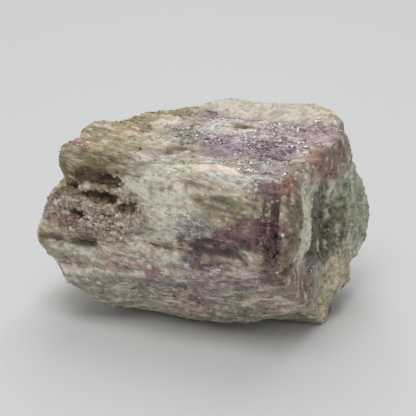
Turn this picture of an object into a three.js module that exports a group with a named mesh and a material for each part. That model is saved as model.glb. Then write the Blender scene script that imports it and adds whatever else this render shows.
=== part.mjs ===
// Rough watermelon tourmaline crystal, grown together with mica and quartz as one stone.
// Millimetres, +Z up. The long axis of the crystal lies along X, its green broken end looks
// to +X and its striated front to -Y. The origin is under the middle of its box, where it rests.

import * as THREE from 'three';
import { mergeVertices } from 'three/addons/utils/BufferGeometryUtils.js';

// Driving dimensions. The heart is the point inside the stone that all reaches and all places on
// the stone are measured from.
const HEART = new THREE.Vector3(0.1, -0.45, 22);
const FRONT_REACH = 23.5;
const TOP_REACH = 21.4;
const END_REACH = 30.1;
const REST_REACH = 22.5;

// The flat faces of the crystal and of its breaks. tilt turns a face's normal about X, from 0 at
// the front through 90 at the top to 180 at the back, and lean turns it towards +X, in degrees.
const FACES = [
  { name: 'front', tilt: 0, lean: 0, reach: FRONT_REACH },
  { name: 'top', tilt: 90, lean: 0, reach: TOP_REACH },
  { name: 'back', tilt: 172, lean: 3, reach: 24.0 },
  { name: 'lower back', tilt: 236, lean: 0, reach: 22.5 },
  { name: 'lower front', tilt: -46.7, lean: 9, reach: 20.6 },
  { name: 'rest', tilt: -90, lean: 0, reach: REST_REACH },
  { name: 'right end', tilt: 0, lean: 87, reach: END_REACH },
  { name: 'right corner at the back', tilt: 148.8, lean: 35, reach: 34 },
  { name: 'left end', tilt: 90, lean: -73.5, reach: 28.2 },
  { name: 'left end, low', tilt: -80, lean: -46, reach: 26.3 },
  { name: 'left corner at the back', tilt: 128, lean: -43, reach: 23.2 },
];

// How crisply the faces meet: 20 would be well worn, 200 a fresh cleavage.
const EDGE_CRISPNESS = 64;

// Where a face lies almost along the line from the heart, relief is stretched no more than this.
const LEAST_FACING = 0.7;

// The grid that is laid over the stone. Its own edges run along the crystal's main edges.
const GRID_HALF = new THREE.Vector3(29.3, FRONT_REACH, TOP_REACH);
const GRID_STEPS = new THREE.Vector3(36, 26, 24);

// Relief that runs over the whole stone: how high it is, and how long, deep and tall one wave is.
const SWELL = { height: 0.9, wave: [17, 14, 14] };
const LUMPS = { height: 0.5, wave: [7.5, 6, 6] };
const RIBS = { height: 0.8, wave: [24, 4.4, 4.4] };
const SPLINTERS = { height: 1.0, wave: [17, 5.5, 5.5], treads: 4 };

// Where the surface broke into splinters: the left third and the lower edge of the front.
const SPLINTER_EDGE_X = -6;
const SPLINTER_EDGE_Z = -7;
const SPLINTER_FADE = 9;

// Relief is held down near the table, so that the stone keeps a true flat to rest on.
const REST_CALM = 0.5;
const REST_FADE = 5;

// Hollows. at is the middle of one, half its reach along X, Y and Z, and depth how far it sinks.
// rim is the share of it that its walls take up: 1 is a bowl, 0.3 a step with a flat floor.
const HOLLOWS = [
  { name: 'long trough', at: [-16.2, -23.5, 15], half: [9.5, 9, 3.2], depth: 4.6, rim: 0.8 },
  { name: 'mouth of the trough', at: [-24.2, -23.5, 13], half: [5, 9, 3.4], depth: 3.2, rim: 0.9 },
  { name: 'second trough', at: [-14.2, -23.5, 10.6], half: [5.4, 7, 2.2], depth: 3.0, rim: 0.8 },
  { name: 'left pit', at: [-19.7, -23.5, 6], half: [3.6, 6, 2.2], depth: 2.2, rim: 1 },
  { name: 'middle pit', at: [-6.9, -23.5, 9.4], half: [3.2, 6, 2.8], depth: 2.4, rim: 1 },
  { name: 'low trough', at: [-17.5, -23.5, -0.7], half: [4.8, 6, 2.2], depth: 2.4, rim: 0.8 },
  { name: 'left low pit', at: [-25.4, -23.5, -1.8], half: [4, 6, 2.2], depth: 1.8, rim: 1 },
  { name: 'plum flake scar', at: [13.8, -23.5, 4.2], half: [11, 7, 4.2], depth: 1.6, rim: 0.4 },
  { name: 'plum scar, high', at: [23.8, -23.5, 8.5], half: [6.5, 7, 5.4], depth: 1.5, rim: 0.5 },
  { name: 'right edge nick', at: [26.3, -23.5, 14.5], half: [2.4, 5, 4.5], depth: 1.4, rim: 0.8 },
  { name: 'low ledge foot', at: [0.3, -19.4, -9.8], half: [19, 7, 2.6], depth: 1.3, rim: 0.7 },
  { name: 'green hollow', at: [30.3, 3.6, 2], half: [9, 8.5, 11], depth: 3.0, rim: 0.7 },
  { name: 'line under the block', at: [29.3, -17.8, 0.4], half: [6, 6, 1.9], depth: 1.4, rim: 0.8 },
  { name: 'notch', at: [30.3, 16.6, -14], half: [7, 4.5, 3.4], depth: 2.0, rim: 1 },
  { name: 'valley', at: [9.3, 10.6, 21.4], half: [24, 3.6, 7], depth: 1.6, rim: 0.9 },
  { name: 'cleft', at: [-1.9, -16.7, 21.4], half: [4.6, 2.1, 5], depth: 1.5, rim: 0.9 },
  { name: 'top pocket, right', at: [7.4, 2.6, 21.4], half: [4.2, 2.6, 5], depth: 0.8, rim: 1 },
  { name: 'top pocket, left', at: [-9.3, -0.2, 21.4], half: [3.8, 2.8, 5], depth: 1.1, rim: 1 },
  { name: 'saddle of the ridge', at: [3.3, 16.6, 21.4], half: [10, 7, 7], depth: 1.5, rim: 1 },
  { name: 'back cleft', at: [4.3, 26.5, -5], half: [22, 8, 3.2], depth: 1.8, rim: 0.8 },
  { name: 'back scar', at: [-11.7, 25.5, 9], half: [8, 8, 6], depth: 1.6, rim: 0.5 },
];

// Bosses, given as the hollows are, with how far each stands proud.
const BOSSES = [
  { name: 'pale bulge', at: [1, -23.5, 9], half: [11, 9, 13], height: 1.3, rim: 1 },
  { name: 'right end block', at: [29.3, -19.4, 10], half: [6, 4.6, 8.8], height: 1.3, rim: 0.35 },
  { name: 'right end wedge', at: [29.7, -11.5, 7.6], half: [6, 3.2, 8], height: 0.8, rim: 0.5 },
  { name: 'green tip', at: [31.3, 19.6, -2], half: [9, 8, 8.5], height: 0.5, rim: 0.9 },
  { name: 'yellow foot', at: [30.3, 4, -14.5], half: [7, 7, 6], height: 1.7, rim: 0.8 },
  { name: 'back foot', at: [29.3, 17.6, -18.5], half: [9, 9, 5.5], height: 1.6, rim: 0.9 },
  { name: 'brown corner', at: [28.3, -5.8, 19], half: [6, 8, 5], height: 0.9, rim: 0.5 },
  { name: 'quartz ridge', at: [21.8, 17.2, 21], half: [12, 7, 8], height: 2.0, rim: 0.9 },
  { name: 'left corner', at: [-29.2, -17.4, -2.5], half: [7, 11, 7], height: 1.1, rim: 1 },
  { name: 'left shoulder', at: [-20, -8.5, 20], half: [6, 6, 5], height: 1.3, rim: 1 },
  { name: 'back lump', at: [14.3, 25.5, 7], half: [11, 9, 9], height: 1.4, rim: 0.9 },
];

const clamp01 = (value) => Math.min(1, Math.max(0, value));
const smooth = (value) => value * value * (3 - 2 * value);
const ramp = (low, high, value) => smooth(clamp01((value - low) / (high - low)));
const mix = (a, b, share) => a + (b - a) * share;
const degrees = THREE.MathUtils.degToRad;

// The outward normal of a face, from its tilt and lean.
function faceNormal({ tilt, lean }) {
  const along = Math.cos(degrees(lean));
  return new THREE.Vector3(
    Math.sin(degrees(lean)),
    -Math.cos(degrees(tilt)) * along,
    Math.sin(degrees(tilt)) * along,
  );
}

// A repeatable number from 0 to 1 for one corner of the noise lattice.
function latticeValue(i, j, k) {
  const mixed = Math.sin(i * 127.1 + j * 311.7 + k * 74.7) * 43758.5453;
  return mixed - Math.floor(mixed);
}

// Smooth noise from -1 to 1, with waves of the given length along X, Y and Z.
function noise(point, wave) {
  const scaled = [point.x / wave[0], point.y / wave[1], point.z / wave[2]];
  const [i, j, k] = scaled.map(Math.floor);
  const [u, v, w] = scaled.map((value) => smooth(value - Math.floor(value)));
  const layers = [0, 1].map((up) => {
    const near = mix(latticeValue(i, j, k + up), latticeValue(i + 1, j, k + up), u);
    const far = mix(latticeValue(i, j + 1, k + up), latticeValue(i + 1, j + 1, k + up), u);
    return mix(near, far, v);
  });
  return 2 * mix(layers[0], layers[1], w) - 1;
}

// Long ribs with rounded crests and narrow grooves, as a tourmaline prism has along its length.
const ribs = (point) => RIBS.height * (0.5 - 2 * Math.abs(noise(point, RIBS.wave)) ** 1.5);

// Flat treads with steep risers between them, long along X, where the prism split into splinters.
function splinters(point) {
  const level = noise(point, SPLINTERS.wave) * SPLINTERS.treads;
  const tread = Math.floor(level) + ramp(0.6, 1, level - Math.floor(level));
  return (SPLINTERS.height * tread) / SPLINTERS.treads;
}

// How much of a hollow or boss is felt at a point, from 0 outside it to 1 on its floor.
function share(point, { at, half, rim }) {
  const away = Math.hypot(
    (point.x - at[0]) / half[0],
    (point.y - at[1]) / half[1],
    (point.z - at[2]) / half[2],
  );
  return ramp(0, rim, 1 - away);
}

// How far the surface stands off the plain faces at a point, which is given from the heart.
function relief(point) {
  const leftward = ramp(-SPLINTER_FADE, SPLINTER_FADE, SPLINTER_EDGE_X - point.x);
  const downward = ramp(-SPLINTER_FADE, SPLINTER_FADE, SPLINTER_EDGE_Z - point.z);
  const broken = Math.max(leftward, downward);
  const surface = SWELL.height * noise(point, SWELL.wave)
    + LUMPS.height * noise(point, LUMPS.wave)
    + mix(ribs(point), splinters(point), broken);
  const hollow = HOLLOWS.reduce((sum, one) => sum + one.depth * share(point, one), 0);
  const boss = BOSSES.reduce((sum, one) => sum + one.height * share(point, one), 0);
  const calm = mix(REST_CALM, 1, ramp(0, REST_FADE, HEART.z + point.z));
  return calm * (surface - hollow + boss);
}

// The surface point of the stone in one direction from its heart. The faces meet in edges
// slightly rounded by EDGE_CRISPNESS, and nothing passes below the height it rests on.
function surfacePoint(direction, faces) {
  const pull = new THREE.Vector3();
  let total = 0;
  for (const { normal, reach } of faces) {
    const nearness = Math.max(0, normal.dot(direction) / reach) ** EDGE_CRISPNESS;
    total += nearness;
    pull.addScaledVector(normal, nearness);
  }
  const plain = total ** (-1 / EDGE_CRISPNESS);
  const facing = Math.max(LEAST_FACING, pull.normalize().dot(direction));
  const rough = plain + relief(direction.clone().multiplyScalar(plain)) / facing;
  const toTable = direction.z < 0 ? HEART.z / -direction.z : Infinity;
  return HEART.clone().addScaledVector(direction, Math.min(rough, toTable));
}

// The whole stone as one closed mesh.
function stoneGeometry() {
  const size = GRID_HALF.clone().multiplyScalar(2);
  const box = new THREE.BoxGeometry(...size.toArray(), ...GRID_STEPS.toArray());
  box.deleteAttribute('normal');
  box.deleteAttribute('uv');
  const geometry = mergeVertices(box);
  const faces = FACES.map((face) => ({ normal: faceNormal(face), reach: face.reach }));
  const position = geometry.getAttribute('position');
  for (let index = 0; index < position.count; index += 1) {
    const direction = new THREE.Vector3().fromBufferAttribute(position, index).normalize();
    const placed = surfacePoint(direction, faces);
    position.setXYZ(index, placed.x, placed.y, placed.z);
  }
  geometry.computeVertexNormals();
  return geometry;
}

const stone = new THREE.MeshStandardMaterial({
  color: '#93837b',
  roughness: 0.55,
  metalness: 0,
  flatShading: true,
});

const crystal = new THREE.Mesh(stoneGeometry(), stone);
crystal.name = 'crystal';

const specimen = new THREE.Group();
specimen.add(crystal);

export default specimen;
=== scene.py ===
"""Rough watermelon tourmaline crystal, dressed for a close-up on a pale sheet of paper.

The stone is a broken prism of pink and green tourmaline grown together with purple mica and
pale feldspar. Places and sizes are in millimetres, in the frame's own axes: X runs along the
prism, -Y is its striated front and Z is up. Meshes are turned to metres as they are finished.
"""

from __future__ import annotations

import itertools
import logging
import math
from dataclasses import dataclass
from enum import Enum, IntEnum

import bmesh
import bpy
import numpy as np
from mathutils import Matrix, Vector
from mathutils.bvhtree import BVHTree

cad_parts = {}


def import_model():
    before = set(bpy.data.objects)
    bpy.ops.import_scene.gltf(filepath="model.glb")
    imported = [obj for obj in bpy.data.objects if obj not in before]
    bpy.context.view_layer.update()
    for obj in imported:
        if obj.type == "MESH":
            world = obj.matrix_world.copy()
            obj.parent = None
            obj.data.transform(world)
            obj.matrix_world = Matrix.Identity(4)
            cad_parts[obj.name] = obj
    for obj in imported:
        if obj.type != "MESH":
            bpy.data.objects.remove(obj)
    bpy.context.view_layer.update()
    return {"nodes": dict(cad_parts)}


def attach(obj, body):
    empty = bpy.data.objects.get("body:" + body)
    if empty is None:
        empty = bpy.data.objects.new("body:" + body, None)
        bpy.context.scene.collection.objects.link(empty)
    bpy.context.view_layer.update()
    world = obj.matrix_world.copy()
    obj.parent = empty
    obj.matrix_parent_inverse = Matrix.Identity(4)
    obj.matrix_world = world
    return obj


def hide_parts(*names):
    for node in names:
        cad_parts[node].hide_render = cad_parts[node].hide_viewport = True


LOG = logging.getLogger("tourmaline")

MM = 0.001
BODY = "root"
STONE_NODE = "crystal"

Triple = tuple[float, float, float]
Span = tuple[float, float]

# Columns of a row of pigment: both shades, then what each point is like.
SHADES = slice(0, 6)
DARK = slice(3, 6)
LUSTRE, FIBROUS, UPRIGHT = 6, 7, 8


class Seed(IntEnum):
    """Which numbers each pattern draws, so that no two patterns follow each other."""

    CALM = 3
    RIBS = 5
    FIBRES = 7
    BLADES = 13
    GRIT = 17
    RIMS = 19
    WANDER_LYING = 71
    WANDER_STANDING = 83
    WANDER_FINE = 97
    SPLINTERS = 101
    SPLINTER_STEPS = 131
    CRUMBS = 151
    CRUMB_LIFTS = 167
    CHIPS = 181
    CHIP_LEANS = 191
    MICA_BOOKS = 211
    MICA_LIFTS = 223
    FACETS = 241
    FACET_LEANS = 251
    GATHERED = 307
    GRAINS = 331
    GRAIN_SHADES = 337
    GRAIN_WARMTHS = 347
    LOOSE_MICA = 401
    LOOSE_SPLINTERS = 409
    LOOSE_CRUMBS = 419
    # Clumps of flakes coloured nearly white as painted glints.
    PAINTED_GLINT_CLUMPS = 421


def linear(shade: str) -> np.ndarray:
    """Turns an sRGB hex colour to linear light.

    Args:
        shade: The colour, such as "#cdc6b2".

    Returns:
        Three linear values from 0 to 1.
    """
    srgb = np.array([int(shade[i : i + 2], 16) / 255 for i in (1, 3, 5)])
    return np.where(srgb <= 0.04045, srgb / 12.92, ((srgb + 0.055) / 1.055) ** 2.4)


def ramp(low: float, high: float, value: np.ndarray) -> np.ndarray:
    """Rises smoothly from 0 at low to 1 at high.

    Args:
        low: The value at which the ramp leaves 0.
        high: The value at which it reaches 1.
        value: The values to look up.

    Returns:
        One share from 0 to 1 for each value.
    """
    share = np.clip((value - low) / (high - low), 0, 1)
    return share * share * (3 - 2 * share)


def unit(vectors: np.ndarray) -> np.ndarray:
    """Scales each row to length one."""
    return vectors / np.maximum(np.linalg.norm(vectors, axis=1), 1e-9)[:, None]


def at_least(least: float, share: np.ndarray) -> np.ndarray:
    """Lifts shares so that 0 becomes the least and 1 stays 1."""
    return least + (1 - least) * share


def inside(points: np.ndarray, centre: Triple, half: Triple) -> np.ndarray:
    """Says how deep each point lies in an ellipsoid: 1 at its centre and 0 on its surface."""
    return 1 - np.linalg.norm((points - np.array(centre)) / np.array(half), axis=1)


class Lattice:
    """Repeatable noise on a lattice of hashed corners, for rows of points in millimetres."""

    # How far a grain's middle keeps from the walls of its cell, as a share of the cell.
    MARGIN = 0.05

    @staticmethod
    def corner(cell: np.ndarray, seed: int) -> np.ndarray:
        """Gives each lattice corner its own number.

        Args:
            cell: Whole-number corners, one a row.
            seed: Which set of numbers to draw from.

        Returns:
            One number from 0 to 1 for each row.
        """
        mixed = (cell[:, 0] * 73856093) ^ (cell[:, 1] * 19349663) ^ (cell[:, 2] * 83492791)
        mixed = mixed ^ (seed * 50331653)
        mixed = (mixed ^ (mixed >> 13)) * 1274126177
        mixed = mixed ^ (mixed >> 16)
        return (mixed & 0xFFFFFF) / 0xFFFFFF

    @staticmethod
    def signed(cell: np.ndarray, seed: int) -> np.ndarray:
        """Gives each lattice corner its own number from -1 to 1."""
        return Lattice.corner(cell, seed) * 2 - 1

    @staticmethod
    def leans(cell: np.ndarray, seed: int) -> np.ndarray:
        """Gives each lattice corner its own way to lean, a row of numbers from -1 to 1."""
        return np.stack([Lattice.signed(cell, seed + axis) for axis in range(3)], axis=1)

    @staticmethod
    def waves(points: np.ndarray, wave: Triple, seed: int) -> np.ndarray:
        """Smooth noise whose swells are as long as the wave on each axis.

        Args:
            points: Places in millimetres.
            wave: Length of a swell along X, Y and Z, in millimetres.
            seed: Which noise to draw.

        Returns:
            One value from -1 to 1 for each point.
        """
        scaled = points / np.array(wave)
        base = np.floor(scaled).astype(np.int64)
        part = scaled - base
        part = part * part * (3 - 2 * part)
        total = np.zeros(len(points))
        for step in itertools.product((0, 1), repeat=3):
            weight = np.prod(np.where(np.array(step) == 1, part, 1 - part), axis=1)
            total += weight * Lattice.corner(base + np.array(step), seed)
        return total * 2 - 1

    @staticmethod
    def layered(points: np.ndarray, wave: Triple, seed: int, layers: int = 3) -> np.ndarray:
        """Noise with finer and weaker noise laid over it.

        Args:
            points: Places in millimetres.
            wave: Length of the longest swell along X, Y and Z.
            seed: Which noise to draw.
            layers: How many sizes of swell there are, each half the one before.

        Returns:
            One value from about -1 to 1 for each point.
        """
        total = np.zeros(len(points))
        for layer in range(layers):
            finer = tuple(length / 2**layer for length in wave)
            total += Lattice.waves(points, finer, seed + layer) / 2**layer
        return total / (2 - 0.5 ** (layers - 1))

    @staticmethod
    def ridges(points: np.ndarray, wave: Triple, seed: int) -> np.ndarray:
        """Noise folded into narrow ridges, from -1 in the hollows to 1 on the crests."""
        return 1 - 2 * np.abs(Lattice.waves(points, wave, seed))

    @staticmethod
    def cells(points: np.ndarray, size: Triple, seed: int) -> tuple[np.ndarray, np.ndarray, np.ndarray]:
        """Splits space into irregular grains.

        Args:
            points: Places in millimetres.
            size: Typical grain size along X, Y and Z.
            seed: Which grains to draw.

        Returns:
            For each point, how far it is from the grain's middle, how close it is to the
            grain's border (0 on the border), and the grain's own corner.
        """
        scaled = points / np.array(size)
        base = np.floor(scaled).astype(np.int64)
        nearest = np.full(len(points), np.inf)
        second = np.full(len(points), np.inf)
        owner = base.copy()
        room = 1 - 2 * Lattice.MARGIN
        for step in itertools.product((-1, 0, 1), repeat=3):
            cell = base + np.array(step)
            jitter = np.stack([Lattice.corner(cell, seed + axis) for axis in range(3)], axis=1)
            away = np.linalg.norm(scaled - cell - Lattice.MARGIN - room * jitter, axis=1)
            closer = away < nearest
            second = np.where(closer, nearest, np.minimum(second, away))
            owner[closer] = cell[closer]
            nearest = np.where(closer, away, nearest)
        return nearest, second - nearest, owner


@dataclass(frozen=True)
class Tint:
    """Two shades that a mineral varies between, how much of it sparkles, and how far it grows
    in fibres instead of grains."""

    light: str
    dark: str
    lustre: float = 0.05
    fibrous: float = 0.5

    def row(self) -> np.ndarray:
        """Gives the tint as one row: the light shade, the dark shade, lustre and fibres."""
        return np.concatenate([linear(self.light), linear(self.dark), [self.lustre, self.fibrous]])


class Mineral(Enum):
    """The minerals and stains of the stone, as the eye meets them."""

    BEIGE_MATRIX = Tint("#d6ccb5", "#8a7f68")
    CREAM_FELDSPAR = Tint("#fffcf0", "#e0d5ba", 0.08, 0.3)
    WHITE_QUARTZ = Tint("#fdfbf6", "#cdc8bc", 0.2, 0.2)
    PALE_QUARTZ = Tint("#dddbcd", "#bfbaa8", 0.0, 0.0)
    HONEY_FELDSPAR = Tint("#f2e8c8", "#8f7b52", 0.1, 0.1)
    YELLOW_FIBRE = Tint("#fffcf0", "#f3e0b8", 0.25, 1.0)
    CRUMB = Tint("#eadfd0", "#837360", 0.1, 0.1)
    # Dark brown of the troughs and pits: partly their own brown, partly painted shade.
    BROWN_CREVICE = Tint("#826f48", "#3c301b", 0.0, 0.4)
    OLIVE_TOURMALINE = Tint("#d3c8a4", "#7f704a", 0.08, 0.4)
    OLIVE_BROWN = Tint("#b7aa86", "#625330", 0.05, 0.9)
    OLIVE_GLASS = Tint("#a8965a", "#6b5a2c", 0.05, 0.6)
    DARK_OLIVE = Tint("#948c6c", "#4f4930", 0.05, 0.3)
    TAN_TOURMALINE = Tint("#c2b891", "#71663e", 0.1, 0.6)
    GREY_GREEN = Tint("#d2cfc0", "#7b7768", 0.08, 0.5)
    BROWN_TOURMALINE = Tint("#ad9c80", "#6f5c42", 0.05, 0.6)
    BLOCK_BROWN = Tint("#a19069", "#514327", 0.05, 0.6)
    RUST_TOURMALINE = Tint("#c79787", "#6d473b", 0.05, 0.6)
    BROWN_ROSE = Tint("#b09382", "#60493c", 0.05, 0.5)
    PINK_TOURMALINE = Tint("#d3afa9", "#805e5c", 0.1, 0.6)
    MAUVE_TOURMALINE = Tint("#c9b0b1", "#6c565a", 0.08, 0.7)
    LILAC_BAND = Tint("#d8ccc7", "#7a6d67", 0.08, 0.6)
    PLUM_TOURMALINE = Tint("#8a7378", "#382a2f", 0.08, 0.5)
    PLUM_BROWN = Tint("#92726a", "#482f2c", 0.05, 0.5)
    RASPBERRY_TOURMALINE = Tint("#ad878c", "#5a3f46", 0.2, 0.4)
    MOTTLED_MICA = Tint("#d6cdc0", "#7d6c56", 0.7, 0.3)
    PURPLE_MICA = Tint("#e8dadc", "#998083", 1.0, 0.2)
    DEEP_PURPLE_MICA = Tint("#b59ca8", "#674c5f", 1.0, 0.2)
    LILAC_MICA = Tint("#dcd3d1", "#8f7d7b", 0.9, 0.2)
    PINK_MICA = Tint("#d8c3c5", "#907579", 0.8, 0.2)
    WEDGE_CREAM = Tint("#fefbe8", "#d6d1b3", 0.05, 0.4)
    # Its dark shade is partly the tourmaline's own colour and partly painted shade of the hollow.
    BLACK_GREEN = Tint("#95957a", "#2c2e22", 0.12, 0.2)
    SEA_GREEN = Tint("#cad8b3", "#56674a", 0.05, 0.3)
    PALE_GREEN = Tint("#d2d7c0", "#717a57", 0.05, 0.3)


# The cosines between which a leaning surface comes to belong to a side.
SIDE_FACING: Span = (0.38, 0.6)


class Side(Enum):
    """A side of the stone: the two axes that measure across it, and the way that it faces."""

    TOP = (0, 1, (0, 0, 1))
    FRONT = (0, 2, (0, -1, 0))
    RIGHT = (1, 2, (1, 0, 0))
    BACK = (0, 2, (0, 1, 0))
    LEFT = (1, 2, (-1, 0, 0))
    UNDER = (0, 1, (0, 0, -1))

    def faced(self, normals: np.ndarray) -> np.ndarray:
        """Says how far each normal belongs to this side, from 0 to 1."""
        return ramp(*SIDE_FACING, normals @ np.array(self.value[2]))


@dataclass(frozen=True)
class Patch:
    """A stretch of one side that one mineral fills, between two limits each way."""

    name: str
    mineral: Mineral
    side: Side
    along: Span
    up: Span
    soft: float = 0.3
    strength: float = 1.0
    climb: float = 0.0
    lean: float = 0.0
    squareness: float = 2.6

    def share(self, points: np.ndarray, normals: np.ndarray, wobble: np.ndarray) -> np.ndarray:
        """Says how far each point belongs to the patch.

        Args:
            points: Places in millimetres.
            normals: The way the surface faces at each place.
            wobble: How far the border wanders at each point, as a share of the patch.

        Returns:
            One share from 0 to 1 for each point.
        """
        first, second, _ = self.side.value
        aside = points[:, first] - sum(self.along) / 2
        risen = points[:, second] - sum(self.up) / 2
        along = np.abs(aside - self.lean * risen) * 2 / (self.along[1] - self.along[0])
        up = np.abs(risen - self.climb * aside) * 2 / (self.up[1] - self.up[0])
        away = (along**self.squareness + up**self.squareness) ** (1 / self.squareness)
        return self.strength * self.side.faced(normals) * ramp(0, self.soft, 1 - away + wobble)


# Each patch is laid over the ones before it. Its limits run along X and then Y on the top and the
# underside, along X and then Z on the front and the back, and along Y and then Z on the ends.
TOP_PATCHES = (
    Patch("tan shoulder", Mineral.TAN_TOURMALINE, Side.TOP, (-34, 2), (-30, 30)),
    Patch("olive glaze", Mineral.OLIVE_TOURMALINE, Side.TOP, (-20, -8), (-20, -6), 0.4),
    Patch("olive line at the left", Mineral.OLIVE_GLASS, Side.TOP, (-20, -10), (-25, -20), 0.6, 0.8),
    Patch("pink mark", Mineral.PINK_TOURMALINE, Side.TOP, (-23, -15), (-25, -16), 0.5, 0.8),
    # Painted glint: a white spot where the shoulder sparkles.
    Patch("white spot", Mineral.WHITE_QUARTZ, Side.TOP, (-18, -15), (-17, -14), 0.6, 0.9),
    Patch("rust line", Mineral.RUST_TOURMALINE, Side.TOP, (-15, -9), (-11, -5), 0.6, 0.8),
    Patch("cream by the mica", Mineral.CREAM_FELDSPAR, Side.TOP, (-11, 0), (-16, -4), 0.5, 0.6),
    Patch("pale green strip", Mineral.GREY_GREEN, Side.TOP, (-7, 8), (-26, -13), 0.4, 0.9),
    Patch("mica over the middle", Mineral.MOTTLED_MICA, Side.TOP, (-11, 11), (-14, 12), 0.5, 0.95),
    Patch("brown line across", Mineral.BROWN_TOURMALINE, Side.TOP, (-5, 6), (-16, -11), 0.6, 0.9),
    Patch("purple at the back", Mineral.PINK_MICA, Side.TOP, (-7, 31), (-2, 18), 0.35),
    Patch("purple mica", Mineral.PURPLE_MICA, Side.TOP, (1, 31), (-15, 14)),
    Patch("deep purple, left", Mineral.DEEP_PURPLE_MICA, Side.TOP, (2, 17), (-19, -4), 0.6, 0.7),
    Patch("deep purple, right", Mineral.DEEP_PURPLE_MICA, Side.TOP, (12, 28), (-14, 2), 0.5, 0.9),
    Patch("lilac sparkle", Mineral.LILAC_MICA, Side.TOP, (7, 18), (-25, -15), 0.5, 0.9),
    Patch("lilac by the edge", Mineral.LILAC_MICA, Side.TOP, (16, 30), (-28, -12), 0.4),
    Patch("top of the yellow fibres", Mineral.YELLOW_FIBRE, Side.TOP, (3, 21), (-28, -21), 0.3),
    Patch("pink mica", Mineral.PINK_MICA, Side.TOP, (18, 31), (-5, 14), 0.4, 0.9),
    Patch("yellow pocket", Mineral.YELLOW_FIBRE, Side.TOP, (-11, -5), (-4, 2), 0.5, 0.8),
    Patch("olive line at the back", Mineral.OLIVE_GLASS, Side.TOP, (-11, -2), (1, 8), 0.6, 0.7),
    Patch("white lens", Mineral.WHITE_QUARTZ, Side.TOP, (0, 13), (-4, 6), 0.6, 0.8),
    Patch("slit in the lens", Mineral.OLIVE_GLASS, Side.TOP, (5, 12), (1, 4), 0.6, 0.9),
    Patch("pale ridge", Mineral.PALE_QUARTZ, Side.TOP, (-14, 32), (10, 32), 0.2),
    Patch("honey end of the ridge", Mineral.HONEY_FELDSPAR, Side.TOP, (19, 28), (12, 20), 0.6, 0.5),
    Patch("brown mica at the corner", Mineral.BROWN_ROSE, Side.TOP, (25, 33), (-20, -9), 0.5, 0.6),
    Patch("red corner", Mineral.RUST_TOURMALINE, Side.TOP, (26.5, 33), (-11, -1), 0.4, 0.9),
    Patch("white blades", Mineral.WHITE_QUARTZ, Side.TOP, (23, 29), (-8, -6), 0.7, 0.8, 0.5),
    # Painted glints: white laid where the shoulder sparkles beside the cream.
    Patch("white glints by the cream", Mineral.WHITE_QUARTZ, Side.TOP, (-5, -1), (-12, -9), 0.7, 0.9),
)

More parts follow.
